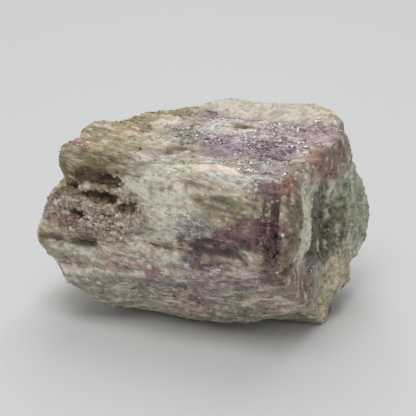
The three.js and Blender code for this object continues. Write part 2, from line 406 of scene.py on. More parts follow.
FRONT_PATCHES = (
    Patch("olive brown under the shoulder", Mineral.OLIVE_BROWN, Side.FRONT, (-27, -1), (37, 45), 0.4),
    Patch("pale front", Mineral.CREAM_FELDSPAR, Side.FRONT, (-12, 14), (19, 44), 0.35),
    Patch("cream column", Mineral.CREAM_FELDSPAR, Side.FRONT, (-3, 10), (26, 44), 0.35),
    Patch("olive over the plum", Mineral.OLIVE_TOURMALINE, Side.FRONT, (8, 29), (29, 43), 0.35),
    Patch("dark olive", Mineral.DARK_OLIVE, Side.FRONT, (12, 20), (33, 39), 0.5, 0.8),
    Patch("yellow fibres", Mineral.YELLOW_FIBRE, Side.FRONT, (3, 23), (37.5, 48), 0.2),
    Patch("rust in the fibres", Mineral.RUST_TOURMALINE, Side.FRONT, (5, 14), (38.5, 40.5), 0.6, 0.8),
    Patch("ochre in the fibres", Mineral.HONEY_FELDSPAR, Side.FRONT, (7, 15), (40.5, 42), 0.6, 0.6),
    # Painted highlight: white laid where the yellow fibres shine.
    Patch("white fibres", Mineral.WHITE_QUARTZ, Side.FRONT, (11, 21), (40.5, 45), 0.6, 0.9),
    Patch("grey flecks by the edge", Mineral.LILAC_MICA, Side.FRONT, (21, 29), (32, 45), 0.5, 0.5),
    Patch("grey by the plum", Mineral.LILAC_MICA, Side.FRONT, (4, 15), (25, 34), 0.45, 0.9, 0.25),
    Patch("crumbly left", Mineral.CRUMB, Side.FRONT, (-34, 2), (22, 36)),
    Patch("honey lumps", Mineral.HONEY_FELDSPAR, Side.FRONT, (-20, -10), (32.5, 35.5), 0.5, 0.7),
    Patch("glassy left edge", Mineral.OLIVE_GLASS, Side.FRONT, (-27, -18), (31, 40), 0.4),
    # The troughs and pits carry painted shade in their dark brown, beside their own colour.
    Patch("long trough", Mineral.BROWN_CREVICE, Side.FRONT, (-22, -9), (34, 39.5), 0.5),
    Patch("second trough", Mineral.BROWN_CREVICE, Side.FRONT, (-21, -9), (30.5, 34), 0.6),
    Patch("left pit", Mineral.BROWN_CREVICE, Side.FRONT, (-22, -17), (26.5, 29), 0.6),
    Patch("middle pit", Mineral.BROWN_CREVICE, Side.FRONT, (-11, -5.5), (28.5, 32.5), 0.6),
    Patch("brown right of the pit", Mineral.CRUMB, Side.FRONT, (-9, -1), (26, 33), 0.5),
    Patch("grey glass", Mineral.GREY_GREEN, Side.FRONT, (-10, -1), (24, 28), 0.5, 0.9),
    Patch("pink mark low on the left", Mineral.RUST_TOURMALINE, Side.FRONT, (-28, -16), (24, 27.5), 0.5, 0.6),
    Patch("ochre low on the left", Mineral.HONEY_FELDSPAR, Side.FRONT, (-30, -19), (21, 25), 0.5, 0.9),
    Patch("cream band", Mineral.CREAM_FELDSPAR, Side.FRONT, (-28, 3), (15.5, 23), 0.5, 0.7),
    Patch("low trough, far left", Mineral.BROWN_CREVICE, Side.FRONT, (-30, -21), (19.5, 22.5), 0.6),
    Patch("low trough", Mineral.BROWN_CREVICE, Side.FRONT, (-24, -12.5), (19, 22.5), 0.6),
    Patch("ochre streaks", Mineral.BROWN_TOURMALINE, Side.FRONT, (-3, 7), (22, 26.5), 0.6, 0.9),
    Patch("grey green foot, left", Mineral.GREY_GREEN, Side.FRONT, (-34, 8), (-4, 19), 0.4, 0.8),
    Patch("bands of the foot", Mineral.LILAC_BAND, Side.FRONT, (-8, 28), (2, 22), 0.4, 0.8),
    Patch("pink streak low on the left", Mineral.PINK_TOURMALINE, Side.FRONT, (-20, 7), (15, 20), 0.5, 0.8),
    Patch("cream of the foot", Mineral.CREAM_FELDSPAR, Side.FRONT, (-12, 8), (0, 10), 0.5, 0.6),
    Patch("pink of the foot", Mineral.PINK_TOURMALINE, Side.FRONT, (0, 12), (3, 12), 0.5, 0.6),
    Patch("grey green foot, right", Mineral.GREY_GREEN, Side.FRONT, (8, 34), (-4, 16), 0.4, 0.8),
    Patch("mauve band", Mineral.MAUVE_TOURMALINE, Side.FRONT, (8, 32), (13, 25), 0.35),
    Patch("plum recess", Mineral.PLUM_TOURMALINE, Side.FRONT, (5.5, 22), (20, 28.5), 0.2, 1.0, 0.2),
    Patch("mauve fibres in the plum", Mineral.MAUVE_TOURMALINE, Side.FRONT, (8, 20), (22, 23), 0.7, 0.6, 0.1),
    Patch("raspberry band", Mineral.RASPBERRY_TOURMALINE, Side.FRONT, (12, 33), (25.5, 34), 0.15, 1.0, 0.2),
    Patch("plum at the right", Mineral.PLUM_TOURMALINE, Side.FRONT, (24, 31), (22, 29), 0.3),
    Patch("pale patch in the plum", Mineral.GREY_GREEN, Side.FRONT, (18, 25.5), (23.5, 26), 0.5, 0.9),
    Patch("white slip in the mauve", Mineral.WHITE_QUARTZ, Side.FRONT, (14, 21), (21.8, 23), 0.6, 0.7, 0.1),
    Patch("plum brown low at the right", Mineral.PLUM_BROWN, Side.FRONT, (23, 33), (15, 26), 0.3),
    Patch("pink foot, right", Mineral.PINK_TOURMALINE, Side.FRONT, (18, 32), (8, 14), 0.5, 0.7),
    Patch("olive lower rim", Mineral.OLIVE_TOURMALINE, Side.FRONT, (-5, 34), (-3, 7), 0.5, 0.6),
    Patch("plum nick at the edge", Mineral.PLUM_BROWN, Side.FRONT, (26, 29.5), (25, 42), 0.4),
    Patch("red top of the nick", Mineral.RASPBERRY_TOURMALINE, Side.FRONT, (24, 30), (37, 44), 0.45),
    Patch("white dot in the plum", Mineral.GREY_GREEN, Side.FRONT, (10, 12), (21.2, 23.2)),
    Patch("white dash in the plum", Mineral.GREY_GREEN, Side.FRONT, (10, 12.5), (24.2, 25), 0.4),
)

RIGHT_PATCHES = (
    Patch("grey green ground of the end", Mineral.GREY_GREEN, Side.RIGHT, (-30, 30), (-5, 50), 0.2, 0.8),
    Patch("brown corner", Mineral.BROWN_ROSE, Side.RIGHT, (-5, 10), (32, 46), 0.3),
    Patch("red corner of the end", Mineral.RUST_TOURMALINE, Side.RIGHT, (-12, -1), (37, 47), 0.3),
    Patch("lilac in the corner", Mineral.PINK_MICA, Side.RIGHT, (6, 13), (34, 38), 0.6, 0.4),
    Patch("pale green end", Mineral.PALE_GREEN, Side.RIGHT, (6, 26), (12, 33), 0.35),
    Patch("sea green", Mineral.SEA_GREEN, Side.RIGHT, (5, 18), (17, 34), 0.4),
    # Painted shade: the hollow's dark green is partly the tourmaline's own colour and partly darkened for
    # shade.
    Patch("dark green hollow", Mineral.BLACK_GREEN, Side.RIGHT, (-13, 10), (13, 35), 0.2, 1.0, 0.0, -0.2),
    Patch("cream streak on the end", Mineral.WEDGE_CREAM, Side.RIGHT, (2, 6), (27, 36), 0.6, 0.8, 0.0, -0.3),
    Patch("rose foot of the end", Mineral.BROWN_ROSE, Side.RIGHT, (-27, -5), (2, 22), 0.4, 0.9),
    Patch("grey grains under the hollow", Mineral.GREY_GREEN, Side.RIGHT, (-10, -1), (8, 19), 0.5, 0.7),
    Patch("yellow foot", Mineral.HONEY_FELDSPAR, Side.RIGHT, (-6, 18), (-2, 17)),
    Patch("rim at the back", Mineral.PALE_GREEN, Side.RIGHT, (9, 25), (9, 18), 0.5, 0.7),
    Patch("fleck beside the wedge", Mineral.WHITE_QUARTZ, Side.RIGHT, (-8, -6), (24, 29), 0.6, 0.9),
    Patch("fleck high in the hollow", Mineral.WHITE_QUARTZ, Side.RIGHT, (-1, 1), (26, 29), 0.6, 0.9),
    Patch("fleck in the middle", Mineral.WHITE_QUARTZ, Side.RIGHT, (6.5, 8), (18.5, 23), 0.6, 0.9),
    Patch("fleck low in the hollow", Mineral.WHITE_QUARTZ, Side.RIGHT, (2, 4), (17, 20), 0.6, 0.9),
    Patch("fleck at the foot of the wedge", Mineral.WHITE_QUARTZ, Side.RIGHT, (-5, -3.5), (19, 23), 0.6, 0.9),
    Patch("fleck at the top of the hollow", Mineral.WEDGE_CREAM, Side.RIGHT, (-4, -2), (30, 33), 0.6, 0.8),
    Patch("grey streak in the hollow", Mineral.GREY_GREEN, Side.RIGHT, (3.5, 6), (22, 27), 0.6, 0.8),
    Patch("fleck in the green", Mineral.WHITE_QUARTZ, Side.RIGHT, (9, 11), (32, 34), 0.6, 0.9),
    Patch("block at the corner", Mineral.BLOCK_BROWN, Side.RIGHT, (-29, -16), (22, 47), 0.1),
    Patch("red top of the block", Mineral.RUST_TOURMALINE, Side.RIGHT, (-27, -16), (38.5, 47), 0.4, 0.8),
    Patch("olive stripe in the block", Mineral.DARK_OLIVE, Side.RIGHT, (-20, -16), (29, 38), 0.6, 0.9),
    Patch("pale wedge", Mineral.WEDGE_CREAM, Side.RIGHT, (-17, -7), (20, 42), 0.15, 1.0, 0.0, 0.2),
    Patch("rust top of the wedge", Mineral.RUST_TOURMALINE, Side.RIGHT, (-13, -3), (36, 42), 0.5, 0.7),
    Patch("joint of the block", Mineral.BROWN_CREVICE, Side.RIGHT, (-17.2, -15.6), (23, 39), 0.7, 0.7),
    Patch("dark slip by the wedge", Mineral.PLUM_BROWN, Side.RIGHT, (-9, -7), (19, 24), 0.5, 0.9),
)

# The photograph doesn't show these sides.
HIDDEN_PATCHES = (
    Patch("beige back", Mineral.BEIGE_MATRIX, Side.BACK, (-36, 36), (-5, 50), 0.2),
    Patch("pale ridge behind", Mineral.PALE_QUARTZ, Side.BACK, (-16, 34), (31, 50), 0.3),
    Patch("pink back", Mineral.PINK_TOURMALINE, Side.BACK, (-24, 8), (17, 31), 0.5, 0.7),
    Patch("mica on the back", Mineral.PURPLE_MICA, Side.BACK, (0, 22), (26, 36), 0.5, 0.8),
    Patch("green back", Mineral.SEA_GREEN, Side.BACK, (10, 33), (13, 31), 0.5, 0.7),
    Patch("olive low on the back", Mineral.OLIVE_TOURMALINE, Side.BACK, (-30, 18), (2, 16), 0.5, 0.7),
    Patch("cream on the back", Mineral.CREAM_FELDSPAR, Side.BACK, (-28, -8), (21, 38), 0.5, 0.8),
    Patch("plum on the back", Mineral.PLUM_TOURMALINE, Side.BACK, (-6, 13), (15, 21), 0.4, 0.8),
    Patch("trough on the back", Mineral.BROWN_CREVICE, Side.BACK, (-17, 3), (12, 15), 0.6, 0.6, 0.05),
    Patch("olive left end", Mineral.OLIVE_TOURMALINE, Side.LEFT, (-30, 30), (-5, 50), 0.2),
    Patch("cream edge of the left end", Mineral.CREAM_FELDSPAR, Side.LEFT, (-25, -12), (7, 34), 0.5, 0.7),
    Patch("pink ring of the left end", Mineral.PINK_TOURMALINE, Side.LEFT, (-12, 18), (11, 36), 0.4, 0.8),
    Patch("plum core of the left end", Mineral.RASPBERRY_TOURMALINE, Side.LEFT, (-6, 13), (15, 31), 0.4, 0.9),
    Patch("olive rim of the left end", Mineral.OLIVE_GLASS, Side.LEFT, (-18, 12), (34, 41), 0.5, 0.6),
    Patch("grey green underside", Mineral.GREY_GREEN, Side.UNDER, (-36, 36), (-30, 30), 0.2, 0.8),
)

PATCHES = HIDDEN_PATCHES + TOP_PATCHES + FRONT_PATCHES + RIGHT_PATCHES


@dataclass(frozen=True)
class Streak:
    """Thin layers of one mineral, which lie along the prism or stand upright on its ends."""

    mineral: Mineral
    wave: Triple
    seed: int
    threshold: float
    strength: float
    standing: bool = False
    above: float = 0.25
    foot: Span = (27, 19)
    edge: float = 0.2

    def share(self, points: np.ndarray, upright: np.ndarray) -> np.ndarray:
        """Says how far each point belongs to one of the layers.

        Args:
            points: Places in millimetres.
            upright: Where the grain stands upright, from 0 to 1.

        Returns:
            One share from 0 to 1 for each point. Layers that lie are thickest near the foot.
        """
        field = Lattice.waves(points, self.wave, self.seed)
        low = at_least(self.above, ramp(*self.foot, points[:, 2]))
        grain = upright if self.standing else (1 - upright) * low
        return self.strength * grain * ramp(self.threshold, self.threshold + self.edge, field)


# Layers of other minerals between the fibres of the prism.
STREAKS = (
    Streak(Mineral.CREAM_FELDSPAR, (5, 1.2, 1.0), 11, 0.20, 0.75, above=0.45),
    Streak(Mineral.MAUVE_TOURMALINE, (7, 1.3, 1.0), 23, 0.30, 0.75),
    Streak(Mineral.GREY_GREEN, (6, 1.4, 1.1), 37, 0.32, 0.65),
    Streak(Mineral.BROWN_TOURMALINE, (5, 1.1, 0.9), 41, 0.40, 0.70, above=0.35),
    Streak(Mineral.WEDGE_CREAM, (1.0, 1.0, 3), 53, 0.30, 0.70, standing=True),
    Streak(Mineral.PLUM_BROWN, (1.0, 1.0, 5), 59, 0.42, 0.40, standing=True),
)


@dataclass(frozen=True)
class Sprinkle:
    """Single grains of one mineral, gathered in clumps among the others."""

    mineral: Mineral
    size: Triple
    seed: int
    cover: float
    strength: float
    clump: Triple = (7, 3, 3)
    clump_from: Span = (-0.2, 0.5)
    edge: float = 0.2

    def share(self, points: np.ndarray) -> np.ndarray:
        """Says how far each point belongs to one of the grains.

        Args:
            points: Places in millimetres.

        Returns:
            One share from 0 to 1 for each point.
        """
        _, border, owner = Lattice.cells(points, self.size, self.seed)
        gathered = ramp(*self.clump_from, Lattice.waves(points, self.clump, self.seed + 3))
        picked = Lattice.corner(owner, self.seed + 5) < 2 * self.cover * gathered
        return self.strength * picked * ramp(0.0, self.edge, border)


# Grains from 0.6 to 1.6 mm, as wide as the picture can show them.
SPRINKLES = (
    # The white grains are partly the stone's own quartz and partly painted glints.
    Sprinkle(Mineral.WHITE_QUARTZ, (1.1, 0.7, 0.7), 431, 0.06, 0.70),
    Sprinkle(Mineral.CREAM_FELDSPAR, (1.8, 0.9, 0.9), 443, 0.09, 0.50),
    Sprinkle(Mineral.BROWN_TOURMALINE, (1.5, 0.8, 0.7), 457, 0.09, 0.60),
    Sprinkle(Mineral.RUST_TOURMALINE, (1.6, 0.8, 0.7), 461, 0.03, 0.60),
)


@dataclass(frozen=True)
class Pigment:
    """What the minerals give each point, a row each: the light shade, the dark shade, lustre,
    and how far the grain is fibrous and stands upright."""

    rows: np.ndarray

    @property
    def lustre(self) -> np.ndarray:
        """How much each point sparkles."""
        return self.rows[:, LUSTRE]

    @property
    def fibrous(self) -> np.ndarray:
        """How far each point grows in fibres."""
        return self.rows[:, FIBROUS]

    @property
    def upright(self) -> np.ndarray:
        """How far the grain stands upright."""
        return self.rows[:, UPRIGHT]

    def picked(self, chosen: np.ndarray) -> Pigment:
        """Gives the pigment of the chosen points alone."""
        return Pigment(self.rows[chosen])

    def shaded(self, shade: np.ndarray) -> Pigment:
        """Scales both shades of each point.

        Args:
            shade: One factor or three for each point.

        Returns:
            The scaled pigment.
        """
        rows = self.rows.copy()
        factors = np.broadcast_to(shade, (len(rows), 3))
        rows[:, SHADES] = np.clip(rows[:, SHADES] * np.tile(factors, (1, 2)), 0, 1)
        return Pigment(rows)

    def store(self, mesh: bpy.types.Mesh, cavity: np.ndarray) -> None:
        """Writes the pigment on a mesh as point attributes.

        Args:
            mesh: The mesh, with a point for each row.
            cavity: How deep in a hollow each point lies, from 0 to 1.
        """
        for name, first in (("tint_light", 0), ("tint_dark", 3)):
            attribute = mesh.attributes.new(name, "FLOAT_COLOR", "POINT")
            colour = np.concatenate([self.rows[:, first : first + 3], np.ones((len(cavity), 1))], axis=1)
            attribute.data.foreach_set("color", colour.astype(np.float32).ravel())
        values = {"lustre": self.lustre, "fibrous": self.fibrous, "upright": self.upright}
        for name, value in {**values, "cavity": cavity}.items():
            attribute = mesh.attributes.new(name, "FLOAT", "POINT")
            attribute.data.foreach_set("value", value.astype(np.float32))


@dataclass(frozen=True)
class Mineralogy:
    """Where each mineral shows on the stone."""

    ground: Mineral = Mineral.BEIGE_MATRIX
    wander: float = 0.30
    lying_wave: Triple = (8, 1.6, 1.4)
    standing_wave: Triple = (1.6, 1.8, 7)
    wander_fine: float = 0.20
    fine_wave: Triple = (1.9, 1.4, 1.4)
    end_facing: Span = (0.55, 0.8)
    end_from: Span = (20, 25)
    block_from: Span = (28.0, 28.8)
    block_above: Span = (22, 25)
    pale_from: Span = (0.03, 0.10)
    streaks_on_mica: float = 0.2
    streaks_on_dark: float = 0.15
    streaked_from: Span = (0, 0.3)
    sprinkles_on_dark: float = 0.3
    sprinkles_on_clear: float = 0.25
    sprinkled_from: Span = (0, 0.1)
    # A brown stain and painted shade, which darken the hollows by their depth.
    stain_and_shade: str = "#86694a"
    stain_and_shade_share: float = 0.6
    stain_and_shade_from: Span = (0.15, 0.8)
    grain_size: Triple = (1.1, 0.6, 0.55)
    grain_contrast: float = 0.26
    grain_warmth: float = 0.07
    weathered_warmth: float = 0.04
    warm_shift: Triple = (1.0, -0.3, -1.0)

    def upright(self, points: np.ndarray, normals: np.ndarray) -> np.ndarray:
        """Says where the grain stands upright, which is on the broken ends and the corner block.

        Args:
            points: Places in millimetres.
            normals: The way the surface faces at each place.

        Returns:
            One share from 0 to 1 for each place.
        """
        facing = ramp(*self.end_facing, np.abs(normals[:, 0]))
        facing = facing * ramp(*self.end_from, np.abs(points[:, 0]))
        block = ramp(*self.block_from, points[:, 0]) * ramp(*self.block_above, points[:, 2])
        return np.maximum(facing, block)

    def pigment(self, points: np.ndarray, normals: np.ndarray, cavity: np.ndarray) -> Pigment:
        """Lays every patch and streak over the ground.

        Args:
            points: Places in millimetres.
            normals: The way the surface faces at each place.
            cavity: How deep in a hollow each place lies, from 0 to 1.

        Returns:
            The pigment, a row for each place.
        """
        upright = self.upright(points, normals)
        lying = self.wander * Lattice.layered(points, self.lying_wave, Seed.WANDER_LYING)
        standing = self.wander * Lattice.layered(points, self.standing_wave, Seed.WANDER_STANDING)
        wobble = lying * (1 - upright) + standing * upright
        wobble += self.wander_fine * Lattice.layered(points, self.fine_wave, Seed.WANDER_FINE, 2)
        rows = np.tile(self.ground.value.row(), (len(points), 1))
        for patch in PATCHES:
            rows = self._lay(patch.mineral, patch.share(points, normals, wobble), rows)
        lustre, fibrous = rows[:, LUSTRE], rows[:, FIBROUS]
        pale = ramp(*self.pale_from, np.mean(rows[:, DARK], axis=1))
        streaked = at_least(self.streaks_on_mica, 1 - lustre) * ramp(*self.streaked_from, fibrous)
        streaked = streaked * at_least(self.streaks_on_dark, pale)
        sprinkled = at_least(self.sprinkles_on_clear, ramp(*self.sprinkled_from, fibrous))
        sprinkled = sprinkled * at_least(self.sprinkles_on_dark, pale)
        for streak in STREAKS:
            rows = self._lay(streak.mineral, streak.share(points, upright) * streaked, rows)
        for sprinkle in SPRINKLES:
            rows = self._lay(sprinkle.mineral, sprinkle.share(points) * sprinkled, rows)
        pigment = Pigment(np.concatenate([rows, upright[:, None]], axis=1))
        return pigment.shaded(self._weathering_and_hollow_shade(points, pigment.lustre, cavity))

    def _weathering_and_hollow_shade(self, points: np.ndarray, lustre: np.ndarray, cavity: np.ndarray) -> np.ndarray:
        """Shades and warms each grain a little its own way, and darkens the hollows with a brown
        stain and painted shade.

        Args:
            points: Places in millimetres.
            lustre: How much each place sparkles.
            cavity: How deep in a hollow each place lies, from 0 to 1.

        Returns:
            Three factors for each place.
        """
        _, _, owner = Lattice.cells(points, self.grain_size, Seed.GRAINS)
        shade = 1 + self.grain_contrast * Lattice.signed(owner, Seed.GRAIN_SHADES)
        warmth = self.grain_warmth * Lattice.signed(owner, Seed.GRAIN_WARMTHS)
        warmth = warmth + self.weathered_warmth * (1 - lustre)
        factors = shade[:, None] * (1 + warmth[:, None] * np.array(self.warm_shift))
        # A brown stain and painted shade darken the hollows with their depth.
        stained_and_shaded = (self.stain_and_shade_share * ramp(*self.stain_and_shade_from, cavity))[:, None]
        return factors * (1 - stained_and_shaded + stained_and_shaded * linear(self.stain_and_shade) * 2)

    @staticmethod
    def _lay(mineral: Mineral, share: np.ndarray, rows: np.ndarray) -> np.ndarray:
        """Blends one mineral into the rows of the points by its share of each."""
        return rows + share[:, None] * (mineral.value.row() - rows)


@dataclass(frozen=True)
class Grain:
    """A stretch of the stone whose surface breaks in its own way."""

    centre: Triple
    half: Triple
    rim: float = 0.35

    def share(self, points: np.ndarray) -> np.ndarray:
        """Says how far each point belongs to the stretch, from 0 to 1."""
        return ramp(0, self.rim, inside(points, self.centre, self.half))


@dataclass(frozen=True)
class Carving:
    """A hollow or a lump that is wide enough to see, with an edge as sharp as the break."""

    name: str
    centre: Triple
    half: Triple
    height: float
    rim: float = 0.35

    def heights(self, points: np.ndarray, wobble: np.ndarray) -> np.ndarray:
        """Gives the height that the carving adds to each point, in millimetres.

        Args:
            points: Places in millimetres.
            wobble: How far the rim wanders, as a share of the carving.

        Returns:
            One height for each point, below 0 in a hollow.
        """
        return self.height * ramp(0, self.rim, inside(points, self.centre, self.half) + wobble)


# Hollows first, from the left of the front to the right end, then lumps.
CARVINGS = (
    Carving("long trough, left", (-20, -21.5, 36.8), (4, 6, 0.9), -0.5, 0.7),
    Carving("long trough, right", (-12.5, -22, 36.3), (4.5, 6, 1.1), -0.8, 0.7),
    Carving("second trough", (-15, -22, 32.2), (5.5, 6, 1.0), -0.8, 0.6),
    Carving("left pit", (-19.5, -23.5, 27.7), (2.2, 4, 0.9), -0.8, 0.6),
    Carving("middle pit", (-8.3, -23.2, 30.6), (2.4, 4, 1.3), -0.6, 0.7),
    Carving("joint by the pit", (-11, -23, 28.8), (2, 4, 0.7), -0.7, 0.6),
    Carving("low trough", (-18, -23.6, 20.8), (4.4, 6, 0.9), -0.7, 0.7),
    Carving("low trough, far left", (-24.5, -23.5, 20.9), (2.8, 6, 0.7), -0.35, 0.7),
    Carving("under the ochre", (1.5, -24.6, 24), (4.6, 4, 0.8), -0.6, 0.6),
    Carving("cleft under the shoulder", (-8, -23, 38.6), (5, 4, 0.8), -0.7, 0.6),
    Carving("plum recess, left", (13.5, -23.5, 24), (8.5, 5, 3.2), -0.7, 0.2),
    Carving("plum recess, right", (22.5, -23.2, 28.4), (8.0, 5, 3.2), -0.6, 0.2),
    Carving("nick at the edge", (27.6, -24, 33), (1.3, 5, 9), -1.0, 0.4),
    Carving("joint behind the block", (31, -16.2, 31), (4, 0.6, 10), -1.0, 0.5),
    Carving("joint behind the wedge", (31, -9.6, 27), (4, 0.7, 7), -0.7, 0.5),
    Carving("joint in the red corner", (31, -1.5, 40), (4, 0.6, 5), -0.6, 0.6),
    Carving("trough on the back", (-7, 24.5, 13.5), (8, 6, 1.2), -0.7, 0.6),
    Carving("pit on the back", (15, 25, 25), (3, 5, 1.7), -1.0, 0.5),
    Carving("scar of the left end", (-31, -4, 24), (5, 8, 7), -0.8, 0.25),
    Carving("joint of the left end", (-31, 9, 22), (5, 0.8, 11), -0.8, 0.5),
    Carving("dark hollow", (31, -1, 25), (5, 9, 9), -0.8, 0.3),
    Carving("line under the block", (30, -20, 21.2), (4, 6, 0.7), -0.8, 0.5),
    Carving("slit in the white lens", (8.5, 2.4, 43), (3, 0.7, 4), -0.7, 0.6),
    Carving("line across the top", (0.5, -13.3, 42.5), (5.5, 0.9, 4), -0.7, 0.6),
    Carving("foot of the pale ridge", (10, 10, 44), (24, 1.1, 4), -0.6, 0.6),
    Carving("block at the corner", (31, -21.5, 33), (4, 5.0, 11.5), 0.7, 0.12),
    Carving("wedge", (31, -12.2, 32), (4, 3.6, 11), 0.4, 0.2),
    Carving("blade in the green", (31, 4, 30), (4, 1.0, 6), 0.6, 0.4),
    Carving("white lens", (6.4, 0.8, 43.3), (6.5, 3.4, 4), 0.4, 0.3),
    Carving("fibre bundle", (13, -23, 41.3), (8, 5, 2.3), 0.5, 0.4),
    Carving("honey lumps", (-15, -21.5, 34.2), (5, 5, 0.9), 0.5, 0.5),
    Carving("crumb ledge", (-19, -23, 29.8), (7, 5, 1.3), 0.7, 0.4),
    Carving("cream column", (2, -24, 35), (6, 5, 7), 0.4, 0.3),
    Carving("ledge of the foot", (6, -22, 18.2), (24, 6, 1.2), 0.35, 0.4),
)

# Broad swells, which reach down to the surface that the stone rests on.
SWELLS = (
    Carving("lower left of the foot", (-16, -17, 5), (15, 9, 8), 2.2, 0.9),
    Carving("foot of the front", (8, -11, 3), (26, 9, 7), 2.3, 0.9),
    Carving("end of the shoulder", (-24, -13, 41.5), (6, 8, 4.5), 1.3, 0.9),
    Carving("floor of the long trough", (-18, -20, 36.2), (9, 8, 4), 1.2, 0.9),
    Carving("floor of the low trough", (-22, -23, 20.8), (10, 6, 2.5), 0.7, 0.9),
    Carving("left end of the pale ridge", (-9, 20, 44), (8, 8, 6), 0.9, 0.9),
    Carving("heel of the green end", (31, 10, 2), (8, 9, 7), -1.8, 0.9),
    Carving("glassy left edge", (-27, -15, 37.5), (6, 9, 4), 1.2, 0.9),
    Carving("lower left corner", (-29, -18, 15.5), (6, 9, 6), 1.6, 0.9),
)


@dataclass(frozen=True)
class Joint:
    """A joint between grains: its depth in millimetres, and its width as a share of a grain."""

    depth: float
    width: float

    def cut(self, border: np.ndarray) -> np.ndarray:
        """Gives the depth of the joint at each closeness to the grain's border."""
        return self.depth * ramp(self.width, 0.0, border)


@dataclass(frozen=True)
class Faces:
    """Flat faces that grains break along, each sloping its own way."""

    size: Triple
    slope: float
    joint: Joint
    seed: Seed
    lean_seed: Seed

    def heights(self, points: np.ndarray) -> np.ndarray:
        """Gives the height of the faces at each point.

        Args:
            points: Places in millimetres.

        Returns:
            One height for each point, in millimetres.
        """
        _, border, owner = Lattice.cells(points, self.size, self.seed)
        offset = points / np.array(self.size) - (owner + 0.5)
        slope = self.slope * np.sum(Lattice.leans(owner, self.lean_seed) * offset, axis=1)
        return slope - self.joint.cut(border)


@dataclass(frozen=True)
class BrokenRelief:
    """The fine relief of the broken surface, as heights along the normal in millimetres."""

    rib_wave: Triple = (11, 1.2, 1.1)
    rib_height: float = 0.14
    fibre_wave: Triple = (6, 0.8, 0.75)
    fibre_height: float = 0.08
    fibres_on_grains: float = 0.15
    fibres_on_crumbs: float = 0.2
    calm_wave: Triple = (9, 4, 3.5)
    calm_from: Span = (-0.3, 0.4)
    calm_fibres: float = 0.45
    splinter_size: Triple = (8.5, 1.9, 1.5)
    splinter_step: float = 0.30
    splinter_joint: Joint = Joint(0.26, 0.22)
    wild_left_of: Span = (4, -12)
    wild_least: float = 0.45
    foot_below: Span = (20, 12)
    foot_splinters: float = 0.3
    crumb_size: Triple = (2.1, 1.5, 1.5)
    crumb_height: float = 0.5
    crumb_swell: float = 0.75
    crumb_joint: Joint = Joint(0.45, 0.3)
    blade_wave: Triple = (1.2, 1.2, 5)
    blade_height: float = 0.13
    chips: Faces = Faces((3.8, 3.8, 3.8), 0.084, Joint(0.042, 0.15), Seed.CHIPS, Seed.CHIP_LEANS)
    facets: Faces = Faces((2.2, 1.3, 1.1), 0.19, Joint(0.06, 0.2), Seed.FACETS, Seed.FACET_LEANS)
    facet_change: float = 0.5
    mica_size: Triple = (1.5, 1.0, 1.0)
    mica_step: float = 0.14
    mica_joint: Joint = Joint(0.07, 0.2)
    grit_wave: Triple = (1.2, 0.8, 0.8)
    grit_height: float = 0.07
    rim_wave: Triple = (3.0, 1.5, 1.5)
    rim_wander: float = 0.3
    rest_fade: Span = (0.2, 3.5)
    crumbs: tuple[Grain, ...] = (
        Grain((-15, -22, 29), (14, 8, 10)),
        Grain((26, -22, 30), (4, 6, 8)),
    )

    def heights(self, points: np.ndarray, pigment: Pigment) -> np.ndarray:
        """Works out how far each point stands out.

        Args:
            points: Places on the smooth stone, in millimetres.
            pigment: What the minerals are like there.

        Returns:
            One height for each point.
        """
        upright, crumbly = pigment.upright, self.crumbly(points)
        fibrous = (1 - upright) * at_least(self.fibres_on_grains, pigment.fibrous)
        fibrous *= at_least(self.fibres_on_crumbs, 1 - crumbly)
        calm = ramp(*self.calm_from, Lattice.waves(points, self.calm_wave, Seed.CALM))
        fibrous *= at_least(self.calm_fibres, calm)
        height = fibrous * self.rib_height * Lattice.ridges(points, self.rib_wave, Seed.RIBS)
        height += fibrous * self.fibre_height * Lattice.ridges(points, self.fibre_wave, Seed.FIBRES)
        height += fibrous * self._splinters(points)
        height += crumbly * self._crumbs(points)
        height += upright * self.blade_height * Lattice.ridges(points, self.blade_wave, Seed.BLADES)
        height += self.chips.heights(points)
        height += (1 + self.facet_change * (upright - crumbly)) * self.facets.heights(points)
        height += pigment.lustre * self._mica(points)
        height += self.grit_height * Lattice.layered(points, self.grit_wave, Seed.GRIT)
        wobble = self.rim_wander * Lattice.layered(points, self.rim_wave, Seed.RIMS, 4)
        for carving in CARVINGS:
            height += carving.heights(points, wobble)
        height *= ramp(*self.rest_fade, points[:, 2])
        for swell in SWELLS:
            height += swell.heights(points, np.zeros(len(points)))
        return height

    def crumbly(self, points: np.ndarray) -> np.ndarray:
        """Says how far the stone crumbles at each point, from 0 to 1."""
        return np.max([grain.share(points) for grain in self.crumbs], axis=0)

    def _splinters(self, points: np.ndarray) -> np.ndarray:
        """Long splinters, each broken off at its own height, with gaps between them.

        Args:
            points: Places in millimetres.

        Returns:
            One height for each point, in millimetres.
        """
        _, border, owner = Lattice.cells(points, self.splinter_size, Seed.SPLINTERS)
        step = Lattice.signed(owner, Seed.SPLINTER_STEPS) * self.splinter_step
        wild = at_least(self.wild_least, ramp(*self.wild_left_of, points[:, 0]))
        low = self.foot_splinters * ramp(*self.foot_below, points[:, 2])
        return (wild + low) * (step - self.splinter_joint.cut(border))

    def _crumbs(self, points: np.ndarray) -> np.ndarray:
        """Loose-looking angular crumbs with deep joints.

        Args:
            points: Places in millimetres.

        Returns:
            One height for each point, in millimetres.
        """
        middle, border, owner = Lattice.cells(points, self.crumb_size, Seed.CRUMBS)
        lift = 0.5 + Lattice.corner(owner, Seed.CRUMB_LIFTS)
        return self.crumb_height * lift * (self.crumb_swell - middle) - self.crumb_joint.cut(border)

    def _mica(self, points: np.ndarray) -> np.ndarray:
        """Small books of mica that lie on each other like scales."""
        _, border, owner = Lattice.cells(points, self.mica_size, Seed.MICA_BOOKS)
        return self.mica_step * Lattice.signed(owner, Seed.MICA_LIFTS) - self.mica_joint.cut(border)


